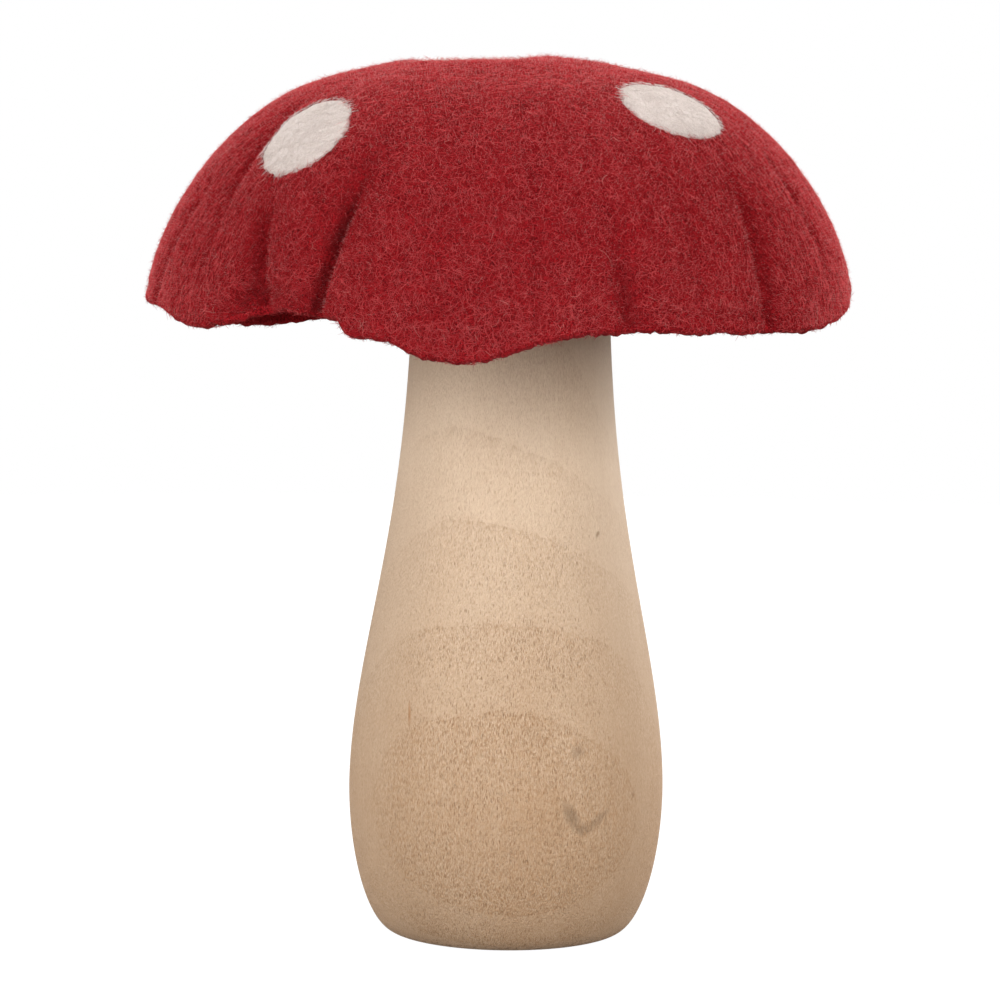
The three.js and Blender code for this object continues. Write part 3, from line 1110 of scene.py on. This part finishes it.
@dataclass
class FeltDot:
    """One off-white dot, felted flush into the cap."""

    node: str
    azimuth: float
    reach: float
    cap: FeltCap
    radius: float = 11.7
    thickness: float = 1.2
    clearance: float = 0.3
    proud: float = 0.12
    edge_unevenness: float = 0.12
    edge_lump_size: tuple[float, float] = (1.2, 5.0)
    edge_drop: float = 0.5
    lump: float = 0.025
    lump_size: tuple[float, float] = (1.5, 5.0)
    corners: tuple[tuple[int, float, float], ...] = ()
    seed: int = 1
    sides: int = 160
    rings: int = 22

    def __post_init__(self) -> None:
        """Find the dot's middle and the two directions across it."""
        turn = math.radians(self.azimuth)
        far = np.array([self.cap.shift + self.reach * math.sin(turn), -self.reach * math.cos(turn), 0.0])
        share = max(0.0, self.reach - self.cap.flat_radius) / (self.cap.radius - self.cap.flat_radius)
        bend = math.asin(share ** (1 / self.cap.power) * math.sin(self.cap.rim_turn))
        side = self.cap.flat_share + (1 - self.cap.flat_share) * bend / self.cap.rim_turn
        flat = self.cap.flat_share * self.reach / self.cap.flat_radius
        down = np.array(flat if self.reach <= self.cap.flat_radius else side)
        self.middle, self.out = self.cap.sample(np.array(self.azimuth), down)
        radial = unit(far * (1, 1, 0) - [self.cap.shift, 0, 0])
        self.along = unit(radial - self.out * (radial @ self.out))
        self.across = np.cross(self.out, self.along)

    def outline(self, angle: np.ndarray) -> np.ndarray:
        """Give the dot's radius at an angle from its downhill side, with its slight corners."""
        radius = np.full_like(angle, self.radius, dtype=float)
        for count, size, turn in self.corners:
            radius += size * np.cos(count * (angle - math.radians(turn)))
        circle = np.stack([np.cos(angle), np.sin(angle), np.full_like(angle, self.seed)], axis=-1)
        lumps = unevenness(circle * self.radius, self.edge_lump_size, self.seed)
        return radius + self.edge_unevenness * lumps

    def spread(self, points: np.ndarray) -> tuple[np.ndarray, np.ndarray]:
        """Give the distance and angle of points from the dot's middle, in its own plane."""
        apart = points - self.middle
        along, across = apart @ self.along, apart @ self.across
        far = np.abs(apart @ self.out) > 2 * self.radius
        return np.where(far, 1e3, np.hypot(along, across)), np.arctan2(across, along)

    def recess(self, points: np.ndarray) -> np.ndarray:
        """Give how far the cap's face is sunk under the dot, ending just inside its edge."""
        distance, angle = self.spread(points)
        return (self.thickness + self.clearance) * smoothstep(self.outline(angle) - distance, 0.1, 1.3)

    def on_felt(self, distance: np.ndarray, angle: np.ndarray) -> tuple[np.ndarray, np.ndarray]:
        """Lay a point of the dot's plane on the felt, and give it with the felt's normal."""
        flat = self.middle + (distance * np.cos(angle))[..., None] * self.along
        flat = flat + (distance * np.sin(angle))[..., None] * self.across
        azimuth, down, _ = self.cap.place(flat)
        return self.cap.sample(azimuth, down)

    def build(self, material: Any) -> Any:
        """Build the dot as a thin pad with a soft edge.

        Args:
            material: The off-white felt, shared by all dots.

        Returns:
            The piece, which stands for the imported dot.
        """
        angle = np.linspace(0, 2 * math.pi, self.sides, endpoint=False)[::-1]
        outline = self.outline(angle)
        rings = []
        for share in np.linspace(0, 1, self.rings)[1:]:
            distance = outline * share
            height = self.proud - self.edge_drop * smoothstep(share, 0.9, 1.0) ** 2 * np.ones_like(distance)
            points, normals = self.on_felt(distance, angle)
            lumps = self.lump * unevenness(points, self.lump_size, self.seed)
            rings.append(points + normals * (height + lumps)[:, None])
        for share, level in ((0.985, -0.7), (0.93, -1.0), (0.85, -self.thickness), (0.4, -self.thickness)):
            points, normals = self.on_felt(outline * share, angle)
            rings.append(points + normals * level)
        top, normal = self.on_felt(np.zeros(1), np.zeros(1))
        ends = np.concatenate([top + normal * self.proud, top - normal * self.thickness])
        points, faces = closed_shell(rings, self.sides, ends)
        piece = mesh_piece(self.node + "_felt", points, faces, material)
        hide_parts(self.node)
        return piece


class Tone(Enum):
    """The fibres' tones, each with its finish's name, colour and share of the strands."""

    # Strands take these tones from the lowest up, mixed a little at random: the deep tone is painted shade
    # low in the mat, the light and palest tones painted light on its top.
    DEEP = ("deep", "#900a12", 0.26)
    MID = ("mid", "#bc2a31", 0.44)
    LIGHT = ("light", "#d45254", 0.298)
    FADED = ("faded", "#d6857e", 0.002)


@dataclass
class Strands:
    """Fibres as paths over the felt, ready to be made into a mesh."""

    paths: np.ndarray
    normals: np.ndarray
    widths: np.ndarray
    heights: np.ndarray

    def part(self, chosen: np.ndarray) -> "Strands":
        """Pick some of the strands."""
        return Strands(self.paths[chosen], self.normals[chosen], self.widths[chosen], self.heights[chosen])

    def tubes(self, name: str, material: Any, slot: str) -> Any:
        """Make the strands into closed three-sided tubes that narrow to their tips.

        Args:
            name: The piece's name.
            material: The fibres' finish.
            slot: The record's material slot, not used.

        Returns:
            The piece.
        """
        count, steps, _ = self.paths.shape
        headings = unit(np.gradient(self.paths, axis=1))
        sideways = unit(np.cross(headings, self.normals))
        upright = np.cross(sideways, headings)
        taper = 1 - 0.75 * np.linspace(0, 1, steps) ** 3
        radius = self.widths[:, None] / 2 * taper
        corners = []
        for angle in np.radians((90, 210, 330)):
            offset = sideways * math.cos(angle) + upright * math.sin(angle)
            corners.append(self.paths + offset * radius[..., None])
        points = np.stack(corners, axis=2).reshape(-1, 3)
        strand = np.arange(count)[:, None, None] * steps * 3
        step = np.arange(steps - 1)[None, :, None] * 3
        corner, after = np.arange(3)[None, None, :], (np.arange(3) + 1)[None, None, :] % 3
        base = strand + step
        sides = np.stack([base + corner, base + after, base + 3 + after, base + 3 + corner], axis=-1)
        first = strand[:, 0, 0]
        last = first + (steps - 1) * 3
        none = np.full(count, -1)
        faces = np.concatenate([
            sides.reshape(-1, 4),
            np.stack([first + 2, first + 1, first, none], axis=-1),
            np.stack([last, last + 1, last + 2, none], axis=-1),
        ])
        return mesh_piece(name, points, faces, material)


@dataclass
class FibreCoat:
    """The loose fibres on the felt's faces.

    A wool fibre is about 0.03 mm thick, too fine to show in the render, so the strands are
    drawn about three times as thick, and fewer.
    """

    cap: FeltCap
    seed: int = 23
    outer_count: int = 140000
    inner_count: int = 8000
    rim_count: int = 7000
    nap_count: int = 70000
    median_length: float = 1.7
    length_spread: float = 0.45
    length_range: tuple[float, float] = (0.7, 5.0)
    nap_length: float = 0.55
    nap_spread: float = 0.35
    nap_range: tuple[float, float] = (0.25, 1.0)
    nap_tilt: float = 0.6
    nap_root: float = 0.06
    nap_combed: float = 0.3
    nap_width: float = 0.65
    rim_length: float = 0.8
    rim_spread: float = 0.4
    rim_range: tuple[float, float] = (0.3, 2.0)
    rim_fuzz: float = 0.12
    rim_stand: tuple[float, float] = (0.1, 0.45)
    rim_lie: float = 0.04
    width: float = 0.085
    width_range: tuple[float, float] = (0.65, 1.2)
    short_width_range: tuple[float, float] = (0.7, 1.2)
    mat_depth: float = 0.2
    lying_lift: float = 0.07
    curl: float = 0.7
    comb_spread: float = 0.27
    fuzz_share: float = 0.06
    fuzz_lift: float = 0.4
    crown_fuzz: float = 0.3
    steps: int = 3
    clump: float = 0.3
    clump_size: tuple[float, float] = (0.9, 2.4)
    clump_most: float = 1.4
    tone_mixing: float = 0.06
    # Painted shade: strands drawn into creases and the hem groove take darker tones.
    crease_painted_shade: float = 0.05
    # Strands near the rim take lighter tones.
    rim_paling: float = 0.045
    most_in_piece: int = 9500
    # Each stray fibre's azimuth, share down the cap, length, heading from downhill and bend to a millimetre.
    strays: tuple[tuple[float, float, float, float, float], ...] = (
        (20.0, 0.69, 3.2, -60, 0.5),
        (1.5, 0.915, 2.2, -130, 0.3),
        (-50.5, 0.97, 2.0, 70, 1.6),
        (24.0, 0.6, 1.6, 20, 0.6),
    )

    def scatter(self, count: int, rng: np.random.Generator, rim_band: float = 0.0) -> np.ndarray:
        """Pick places all over the felt, evenly by area.

        Args:
            count: How many places to pick.
            rng: The random source.
            rim_band: Where above 0, the least share down the cap of any place.

        Returns:
            Points on the felt's outer face.
        """
        grid = self.cap.points
        around = np.linalg.norm(np.roll(grid, -1, axis=0) - grid, axis=-1)
        downward = np.linalg.norm(np.diff(grid, axis=1), axis=-1)
        area = around[:, :-1] * downward
        area[:, : int(rim_band * area.shape[1])] = 0
        middles = grid[:, :-1]
        clouds = unevenness(middles, self.clump_size, self.seed, 60)
        thick = 1 + self.clump * clouds.clip(-self.clump_most, self.clump_most)
        area = area * thick
        picks = rng.choice(area.size, count, p=(area / area.sum()).ravel())
        column, row = np.unravel_index(picks, area.shape)
        azimuth = (column + rng.uniform(size=count)) * 360 / grid.shape[0] - 180
        down = (row + rng.uniform(size=count)) / (grid.shape[1] - 1)
        return self.cap.sample(azimuth, down)[0]

    def headings(self, starts: np.ndarray, combed: np.ndarray, rng: np.random.Generator) -> np.ndarray:
        """Pick each strand's direction, downhill where the felt is combed and any way elsewhere."""
        azimuth, down, _ = self.cap.place(starts)
        _, normals = self.cap.sample(azimuth, down)
        downhill = self.cap.downhill(azimuth, normals)
        across = np.cross(normals, downhill)
        any_way = rng.uniform(-math.pi, math.pi, len(starts))
        lies_down = rng.uniform(size=len(starts)) < combed
        angle = np.where(lies_down, rng.normal(0, self.comb_spread, len(starts)), any_way)
        return downhill * np.cos(angle)[:, None] + across * np.sin(angle)[:, None]

    def walk(
        self, starts: np.ndarray, headings: np.ndarray, lengths: np.ndarray, bends: np.ndarray
    ) -> tuple[np.ndarray, np.ndarray]:
        """Run strands over the felt.

        Args:
            starts: Where they start.
            headings: Which way they start, along the felt.
            lengths: Their lengths in millimetres.
            bends: How much each turns sideways, in radians to a millimetre.

        Returns:
            Points along each strand and the felt's normals there.
        """
        point, heading = starts, headings
        azimuth, down, _ = self.cap.place(point)
        _, normal = self.cap.sample(azimuth, down)
        paths, normals = [point], [normal]
        stride = lengths[:, None] / self.steps
        turn = bends[:, None] * stride
        for _ in range(self.steps):
            azimuth, down, over = self.cap.place(point + heading * stride)
            held, normal = self.cap.sample(azimuth, down)
            point = np.where(over[:, None], point + heading * stride * 0.2, held)
            heading = unit(heading - normal * (heading * normal).sum(axis=-1, keepdims=True))
            heading = heading * np.cos(turn) + np.cross(normal, heading) * np.sin(turn)
            paths.append(point)
            normals.append(normal)
        return np.stack(paths, axis=1), np.stack(normals, axis=1)

    def lift(
        self, count: int, rng: np.random.Generator, fuzz: float | np.ndarray | None = None
    ) -> np.ndarray:
        """Give how high each strand stands off the felt along its length, lying or as fuzz.

        Args:
            count: How many strands there are.
            rng: The random source.
            fuzz: The share of strands that stand up, one number or one for each strand.

        Returns:
            Heights in millimetres, a row to each strand.
        """
        along = np.linspace(0, 1, self.steps + 1)
        share = np.broadcast_to(self.fuzz_share if fuzz is None else fuzz, count)[:, None]
        base = rng.uniform(0, self.mat_depth, (count, 1))
        hump = rng.uniform(0.2, 1.0, (count, 1)) * self.lying_lift * np.sin(math.pi * along)
        fuzzy = rng.uniform(size=(count, 1)) < share
        tip = rng.exponential(self.fuzz_lift * (0.5 + share), (count, 1)).clip(0, 3 * self.fuzz_lift)
        return base + hump + np.where(fuzzy, tip * along**1.5, 0)

    def grow(
        self, starts: np.ndarray, combed: np.ndarray, rng: np.random.Generator, shorter: float = 1.0,
        fuzz: float | np.ndarray | None = None,
    ) -> Strands:
        """Grow strands from places on the felt.

        Args:
            starts: Where they start.
            combed: How likely each is to lie downhill.
            rng: The random source.
            shorter: A factor on their lengths.
            fuzz: The share that stands up, where it isn't the coat's own.

        Returns:
            The strands.
        """
        count = len(starts)
        lengths = rng.lognormal(math.log(self.median_length), self.length_spread, count)
        lengths = np.clip(lengths, *self.length_range) * shorter
        bends = rng.normal(0, self.curl, count)
        paths, normals = self.walk(starts, self.headings(starts, combed, rng), lengths, bends)
        lift = self.lift(count, rng, fuzz)
        paths = paths + normals * lift[..., None]
        widths = self.width * rng.uniform(*self.width_range, count)
        azimuth, down, _ = self.cap.place(starts)
        radius = np.hypot(starts[:, 0] - self.cap.shift, starts[:, 1])
        # Painted shade: strands drawn into creases and the hem groove rank lower and so take darker tones.
        drawn_in = self.cap.gather_depth(azimuth, down, radius, 0.0) + self.cap.hem(azimuth, down)
        # Strands near the rim rank higher and so take lighter tones.
        paler_near_rim = self.rim_paling * smoothstep(down, 0.8, 0.97)
        return Strands(paths, normals, widths, lift[:, 0] - self.crease_painted_shade * drawn_in + paler_near_rim)

    def off_dots(self, starts: np.ndarray) -> np.ndarray:
        """Tell which places lie on the red felt."""
        clear = np.ones(len(starts), bool)
        for dot in self.cap.dots:
            distance, angle = dot.spread(starts)
            clear &= distance > dot.outline(angle) - 0.25
        return clear

    def outer(self, rng: np.random.Generator) -> Strands:
        """Grow the outer face's coat, combed down at the two sides and matted elsewhere."""
        starts = self.scatter(self.outer_count, rng)
        azimuth, down, _ = self.cap.place(starts)
        sideways = np.sin(np.radians(azimuth)) ** 2
        combed = 0.1 + 0.75 * smoothstep(sideways, 0.12, 0.55) * smoothstep(down, 0.25, 0.55)
        clear = self.off_dots(starts)
        fuzz = self.fuzz_share + self.crown_fuzz * smoothstep(-down, -0.5, -0.15)
        return self.grow(starts[clear], combed[clear], rng, 1.0, fuzz[clear])

    def nap(self, rng: np.random.Generator) -> Strands:
        """Grow the short hairs that stand off the felt and show where it turns away from the eye."""
        starts = self.scatter(self.nap_count, rng)
        starts = starts[self.off_dots(starts)]
        count = len(starts)
        azimuth, down, _ = self.cap.place(starts)
        _, normals = self.cap.sample(azimuth, down)
        headings = self.headings(starts, np.full(count, self.nap_combed), rng)
        length = rng.lognormal(math.log(self.nap_length), self.nap_spread, count)
        length = np.clip(length, *self.nap_range)[:, None, None]
        tilt = rng.uniform(0.0, self.nap_tilt, count)[:, None, None]
        along = np.linspace(0, 1, 2)[None, :, None]
        rise, run = np.cos(tilt) * along * length, np.sin(tilt) * along * length
        paths = starts[:, None] + normals[:, None] * (self.nap_root + rise) + headings[:, None] * run
        widths = self.nap_width * self.width * rng.uniform(*self.short_width_range, count)
        sideways = np.repeat(headings[:, None], 2, axis=1)
        return Strands(paths, sideways, widths, np.full(count, self.mat_depth))

    def inner(self, rng: np.random.Generator) -> Strands:
        """Grow the thinner coat inside the cap."""
        starts = self.scatter(self.inner_count, rng, 0.35)
        strands = self.grow(starts, np.full(len(starts), 0.2), rng)
        azimuth, down, _ = self.cap.place(strands.paths)
        outer, outward = self.cap.sample(azimuth, down)
        height = ((strands.paths - outer) * outward).sum(axis=-1, keepdims=True)
        face, normals = self.cap.sample(azimuth, down, inner=True)
        return Strands(face - normals * height.clip(0, 0.4), -normals, strands.widths, strands.heights)

    def stray(self) -> Strands:
        """Lay the few long pale fibres that have caught on the felt."""
        azimuth, down, lengths, turns, bends = np.array(self.strays).T
        starts, normals = self.cap.sample(azimuth, down)
        downhill = self.cap.downhill(azimuth, normals)
        turn = np.radians(turns)[:, None]
        headings = downhill * np.cos(turn) + np.cross(normals, downhill) * np.sin(turn)
        paths, normals = self.walk(starts, headings, lengths, bends)
        height = np.full(len(starts), self.mat_depth + 0.15)
        widths = np.full(len(starts), 1.3 * self.width)
        return Strands(paths + normals * height[:, None, None], normals, widths, height)

    def rim(self, rng: np.random.Generator) -> Strands:
        """Grow the short fringe round the rim's edge."""
        count = self.rim_count
        azimuth = rng.uniform(-180, 180, count)
        corner, normal = self.cap.sample(azimuth, np.ones(count))
        above, _ = self.cap.sample(azimuth, np.full(count, 0.985))
        down = unit(corner - above)
        around = np.cross(normal, down)
        angle = rng.uniform(0, math.pi, count)
        depth = self.cap.thickness * (1 - np.cos(angle)) / 2
        below = self.cap.edge_round * np.sin(angle) * 0.9
        root = corner - normal * depth[:, None] + down * below[:, None]
        out = unit(normal * np.cos(angle)[:, None] + down * np.sin(angle)[:, None])
        swing = rng.uniform(-math.pi, math.pi, count)
        lie = unit(np.cross(out, around) * np.sin(swing)[:, None] + around * np.cos(swing)[:, None])
        length = np.clip(rng.lognormal(math.log(self.rim_length), self.rim_spread, count), *self.rim_range)
        stands = rng.uniform(size=count) < self.rim_fuzz
        stand = np.where(stands, rng.uniform(*self.rim_stand, count), self.rim_lie)
        along = np.linspace(0, 1, self.steps + 1)
        paths = root[:, None] + lie[:, None] * (length[:, None] * along)[..., None]
        rise = self.rim_lie + stand[:, None] * length[:, None] * along**1.3 * 0.6
        curl = 0.12 * np.sin(along * 3 + swing[:, None]) * length[:, None]
        paths = paths + out[:, None] * rise[..., None] + np.cross(out, lie)[:, None] * curl[..., None]
        normals = np.broadcast_to(out[:, None], paths.shape)
        widths = self.width * rng.uniform(*self.short_width_range, count)
        return Strands(paths, normals, widths, rng.uniform(0, self.mat_depth, count))

    def build(self, finishes: dict[Tone, Any], nap_finish: Any) -> None:
        """Make the red fibres, a piece for each tone and part, with the lowest in the darkest tone as painted
        shade and the highest in the lightest as painted light.

        Args:
            finishes: The material of each tone.
            nap_finish: The material of the short standing hairs, pale pink as a painted sheen.
        """
        rng = np.random.default_rng(self.seed)
        coats = (("outer", self.outer(rng)), ("inner", self.inner(rng)), ("rim", self.rim(rng)))
        for part, strands in coats:
            count = len(strands.widths)
            # Painted shade and light: the lowest strands take the darkest tone and the highest the lightest.
            order = np.argsort(strands.heights + rng.normal(0, self.tone_mixing, count))
            start = 0
            for tone in Tone:
                name, _, share = tone.value
                end = min(count, start + math.ceil(share * count))
                chosen = order[start:end]
                pieces = max(1, math.ceil(len(chosen) / self.most_in_piece))
                for number, some in enumerate(np.array_split(chosen, pieces), 1):
                    strands.part(some).tubes(f"fibres_{part}_{name}_{number}", finishes[tone], "red_felt")
                start = end
        self.stray().tubes("fibres_stray", finishes[Tone.FADED], "red_felt")
        hairs = self.nap(rng)
        parts = math.ceil(len(hairs.widths) / (2 * self.most_in_piece))
        for number, some in enumerate(np.array_split(np.arange(len(hairs.widths)), parts), 1):
            hairs.part(some).tubes(f"fibres_nap_{number}", nap_finish, "red_felt")


@dataclass
class DotFibres:
    """The off-white fibres on the dots, which cross the dots' edges into the red felt."""

    coat: FibreCoat
    face_density: float = 4.5
    face_shorter: float = 0.7
    face_thinner: float = 0.75
    edge_density: float = 3.0
    edge_band: tuple[float, float] = (0.1, 0.7)
    edge_swing: float = 0.6
    edge_length: float = 0.7
    edge_spread: float = 0.4
    edge_range: tuple[float, float] = (0.3, 2.0)
    edge_curl: float = 0.4
    edge_width_range: tuple[float, float] = (0.5, 0.8)
    edge_lift: float = 0.1
    seed: int = 41

    def build(self, dot: FeltDot, material: Any, fuzz: float) -> Any:
        """Make one dot's fibres.

        Args:
            dot: The dot that they grow on.
            material: The off-white fibres' finish.
            fuzz: The share of fibres that stand up.

        Returns:
            The piece.
        """
        rng = np.random.default_rng(self.seed + dot.seed)
        face_count = int(self.face_density * math.pi * dot.radius**2)
        angle = rng.uniform(-math.pi, math.pi, face_count)
        distance = dot.outline(angle) * np.sqrt(rng.uniform(0, 0.97, face_count))
        starts, _ = dot.on_felt(distance, angle)
        face = self.coat.grow(starts, np.zeros(face_count), rng, self.face_shorter, fuzz)

        edge_count = int(self.edge_density * 2 * math.pi * dot.radius)
        angle = rng.uniform(-math.pi, math.pi, edge_count)
        inward = rng.uniform(*self.edge_band, edge_count)
        starts, normals = dot.on_felt(dot.outline(angle) - inward, angle)
        outward = dot.along * np.cos(angle)[:, None] + dot.across * np.sin(angle)[:, None]
        sideways = np.cross(normals, outward)
        swing = rng.normal(0, self.edge_swing, edge_count)[:, None]
        heading = unit(outward * np.cos(swing) + sideways * np.sin(swing))
        lengths = rng.lognormal(math.log(self.edge_length), self.edge_spread, edge_count)
        lengths = np.clip(lengths, *self.edge_range)
        bends = rng.normal(0, self.edge_curl, edge_count)
        paths, normals = self.coat.walk(starts, heading, lengths, bends)
        paths = paths + normals * (self.edge_lift + self.coat.lift(edge_count, rng))[..., None]
        widths = self.coat.width * rng.uniform(*self.edge_width_range, edge_count)
        strands = Strands(
            np.concatenate([face.paths + face.normals * dot.proud, paths]),
            np.concatenate([face.normals, normals]),
            np.concatenate([face.widths * self.face_thinner, widths]),
            np.zeros(face_count + edge_count),
        )
        return strands.tubes(dot.node + "_fibres", material, "off_white_felt")


@dataclass(frozen=True)
class Softbox:
    """A soft square or oblong lamp: its name, place, aim, width and height, and power in watts."""

    name: str
    place: tuple[float, float, float]
    aim: tuple[float, float, float]
    size: tuple[float, float]
    power: float


@dataclass
class Studio:
    """A white sweep, soft lamps and the camera, all outside the part."""

    camera_place: tuple[float, float, float] = (-1.9, -894.6, 186.4)
    aim_height: float = 92.4
    roll: float = 0.6
    lens: float = 152.0
    world_light: float = 0.02
    floor_radius: float = 900.0
    floor_grey: float = 0.35
    lamps: tuple[Softbox, ...] = (
        Softbox("front_high", (0, -700, 460), (0, 0, 95), (400, 400), 0.7),
        Softbox("front_left", (-330, -650, 260), (0, 0, 95), (300, 300), 0.8),
        Softbox("key_left", (-500, -500, 325), (0, 0, 95), (350, 350), 2.8),
        Softbox("key_right", (500, -500, 345), (0, 0, 95), (350, 350), 3.7),
        Softbox("side_left", (-600, 0, 200), (0, 0, 95), (400, 400), 0.72),
        Softbox("top_back", (0, 250, 600), (0, 0, 150), (500, 300), 3.05),
        Softbox("back_right", (400, 500, 300), (0, 0, 95), (400, 400), 2.7),
    )

    def build(self) -> None:
        """Set up the camera, the light and the floor."""
        scene = bpy.context.scene
        scene.view_settings.view_transform = "Standard"
        self.add_camera(scene)
        self.add_world(scene)
        for lamp in self.lamps:
            self.add_lamp(lamp)
        self.add_floor()

    def add_camera(self, scene: Any) -> None:
        """Place the camera as the picture was taken: pitched down a little and rolled."""
        data = bpy.data.cameras.new("camera")
        data.lens = self.lens
        data.sensor_width = 36.0
        data.clip_start, data.clip_end = 0.05, 50.0
        camera = bpy.data.objects.new("camera", data)
        scene.collection.objects.link(camera)
        _, back, high = self.camera_place
        pitch = math.atan2(high - self.aim_height, -back)
        camera.matrix_world = (
            Matrix.Translation(Vector(self.camera_place) * MM)
            @ Matrix.Rotation(math.pi / 2 - pitch, 4, "X")
            @ Matrix.Rotation(math.radians(self.roll), 4, "Z")
        )
        scene.camera = camera

    def add_lamp(self, softbox: Softbox) -> None:
        """Add one softbox.

        Args:
            softbox: The lamp's place, aim, size and power.
        """
        data = bpy.data.lights.new(softbox.name, "AREA")
        data.shape = "RECTANGLE"
        data.size, data.size_y = (side * MM for side in softbox.size)
        data.energy = softbox.power
        lamp = bpy.data.objects.new(softbox.name, data)
        bpy.context.scene.collection.objects.link(lamp)
        lamp.location = Vector(softbox.place) * MM
        lamp.rotation_mode = "QUATERNION"
        lamp.rotation_quaternion = (Vector(softbox.place) - Vector(softbox.aim)).to_track_quat("Z", "Y")

    def add_world(self, scene: Any) -> None:
        """Light evenly from all round, with plain white behind the object."""
        world = bpy.data.worlds.new("white_room")
        world.use_nodes = True
        tree = world.node_tree
        tree.nodes.clear()
        shown = self.seen_directly(tree)
        room = add_node(tree, "ShaderNodeBackground", {"Strength": self.world_light})
        white = add_node(tree, "ShaderNodeBackground", {"Color": (1, 1, 1, 1), "Strength": 1.0})
        room.inputs["Color"].default_value = (1, 1, 1, 1)
        mix = add_node(tree, "ShaderNodeMixShader", {}, {0: shown, 1: room.outputs[0], 2: white.outputs[0]})
        add_node(tree, "ShaderNodeOutputWorld", {}, {"Surface": mix.outputs[0]})
        scene.world = world

    def seen_directly(self, tree: Any) -> Any:
        """Add a test for rays that show the background, straight or in a gloss, and return its output."""
        ray = add_node(tree, "ShaderNodeLightPath")
        either = add_node(
            tree, MATH, {"operation": "MAXIMUM"},
            {0: ray.outputs["Is Camera Ray"], 1: ray.outputs["Is Glossy Ray"]},
        )
        return add_node(
            tree, MATH, {"operation": "MAXIMUM"},
            {0: either.outputs[0], 1: ray.outputs["Is Transmission Ray"]},
        ).outputs[0]

    def add_floor(self) -> None:
        """Lay a white floor that keeps a faint shadow near the foot and fades into the background."""
        material, output = new_material("white_floor")
        tree = material.node_tree
        place = add_node(tree, "ShaderNodeTexCoord").outputs["Object"]
        reach = add_node(tree, VECTOR_MATH, {"operation": "LENGTH"}, {0: place})
        fade = add_node(
            tree, MAP_RANGE, {"From Min": 0.025, "From Max": 0.06, "To Min": 0.86, "To Max": 1.0},
            {"Value": reach.outputs["Value"]},
        )
        share = add_node(
            tree, MATH, {"operation": "MULTIPLY"}, {0: fade.outputs[0], 1: self.seen_directly(tree)}
        )
        paint = add_node(tree, "ShaderNodeBsdfDiffuse", {"Color": (*[self.floor_grey] * 3, 1)})
        white = add_node(tree, "ShaderNodeEmission", {"Color": (1, 1, 1, 1), "Strength": 1.15})
        mix = add_node(
            tree, "ShaderNodeMixShader", {}, {0: share.outputs[0], 1: paint.outputs[0], 2: white.outputs[0]}
        )
        tree.links.new(mix.outputs[0], output.inputs["Surface"])
        mesh = bpy.data.meshes.new("floor")
        turn = np.linspace(0, 2 * math.pi, 96, endpoint=False)
        ring = [
            (math.cos(a) * self.floor_radius * MM, math.sin(a) * self.floor_radius * MM, 0.0) for a in turn
        ]
        mesh.from_pydata(ring, [], [list(range(len(ring)))])
        mesh.materials.append(material)
        floor = bpy.data.objects.new("floor", mesh)
        bpy.context.scene.collection.objects.link(floor)


WOOD_MARKS = (
    Mark((13.6, -31.0, 29.8), (1.7, 5.0, 4.0), -28, 0.55, "#806950"),
    Mark((19.2, -28.5, 28.5), (1.2, 5.0, 4.6), 50, 0.38, "#806950"),
    Mark((15.8, -30.0, 27.0), (2.0, 5.0, 1.7), 0, 0.42, "#806950"),
    Mark((14.8, -29.3, 43.2), (1.7, 5.0, 1.8), 0, 0.42, "#866d55"),
    Mark((26.6, -20.4, 32.8), (0.5, 5.0, 0.9), 0, 0.5, "#94704f"),
    Mark((-20.3, -25.0, 50.0), (0.35, 5.0, 3.2), 0, 0.65, "#ad7440"),
    Mark((18.6, -18.0, 87.2), (0.45, 5.0, 0.9), 20, 0.7, "#8d6a4a"),
)


def main() -> None:
    """Build the camera and light, then the stem, the glue, the cap, its dots and its fibres."""
    logging.basicConfig(level=logging.INFO, format="%(message)s")
    Studio().build()
    TurnedStem().build(OpenPoredWood(marks=WOOD_MARKS))
    GlueSpot().build(HotMeltGlue())

    cap = FeltCap()
    cap.dots = [
        FeltDot("dot_crown", -90, 6.2, cap, seed=1),
        FeltDot("dot_front_left", -45, 55.5, cap, corners=((1, 1.0, -120), (2, 0.9, -135)), seed=2),
        FeltDot("dot_front_right", 46.5, 47.5, cap, corners=((1, 1.0, 120), (2, 1.1, 95)), seed=3),
        FeltDot("dot_back_left", -136, 51.7, cap, seed=4),
        FeltDot("dot_back_right", 137, 55.7, cap, seed=5),
    ]
    cap.build(WetFelt("red_wet_felt", "#4e040a", "#841419", "#a02026", 0.12, "#ffb8b0"))

    white_felt = WetFelt("off_white_wet_felt", "#c9bbb3", "#dacdc6", "#e4d9d3", 0.1, "#ffffff").material()
    white_fibre = WoolFibre("off_white_wool_fibre", "#e1d6d0").material()
    coat = FibreCoat(cap)
    for dot in cap.dots:
        dot.build(white_felt)
        DotFibres(coat).build(dot, white_fibre, 0.3 if dot.node == "dot_crown" else coat.fuzz_share)
    reds = {tone: WoolFibre(f"red_wool_fibre_{tone.value[0]}", tone.value[1]).material() for tone in Tone}
    # The nap hairs are pale pink, a painted sheen on the red wool.
    coat.build(reds, WoolFibre("red_wool_nap_painted_sheen", "#d68481", 0.0, 0.1).material())


if __name__ == "__main__":
    main()
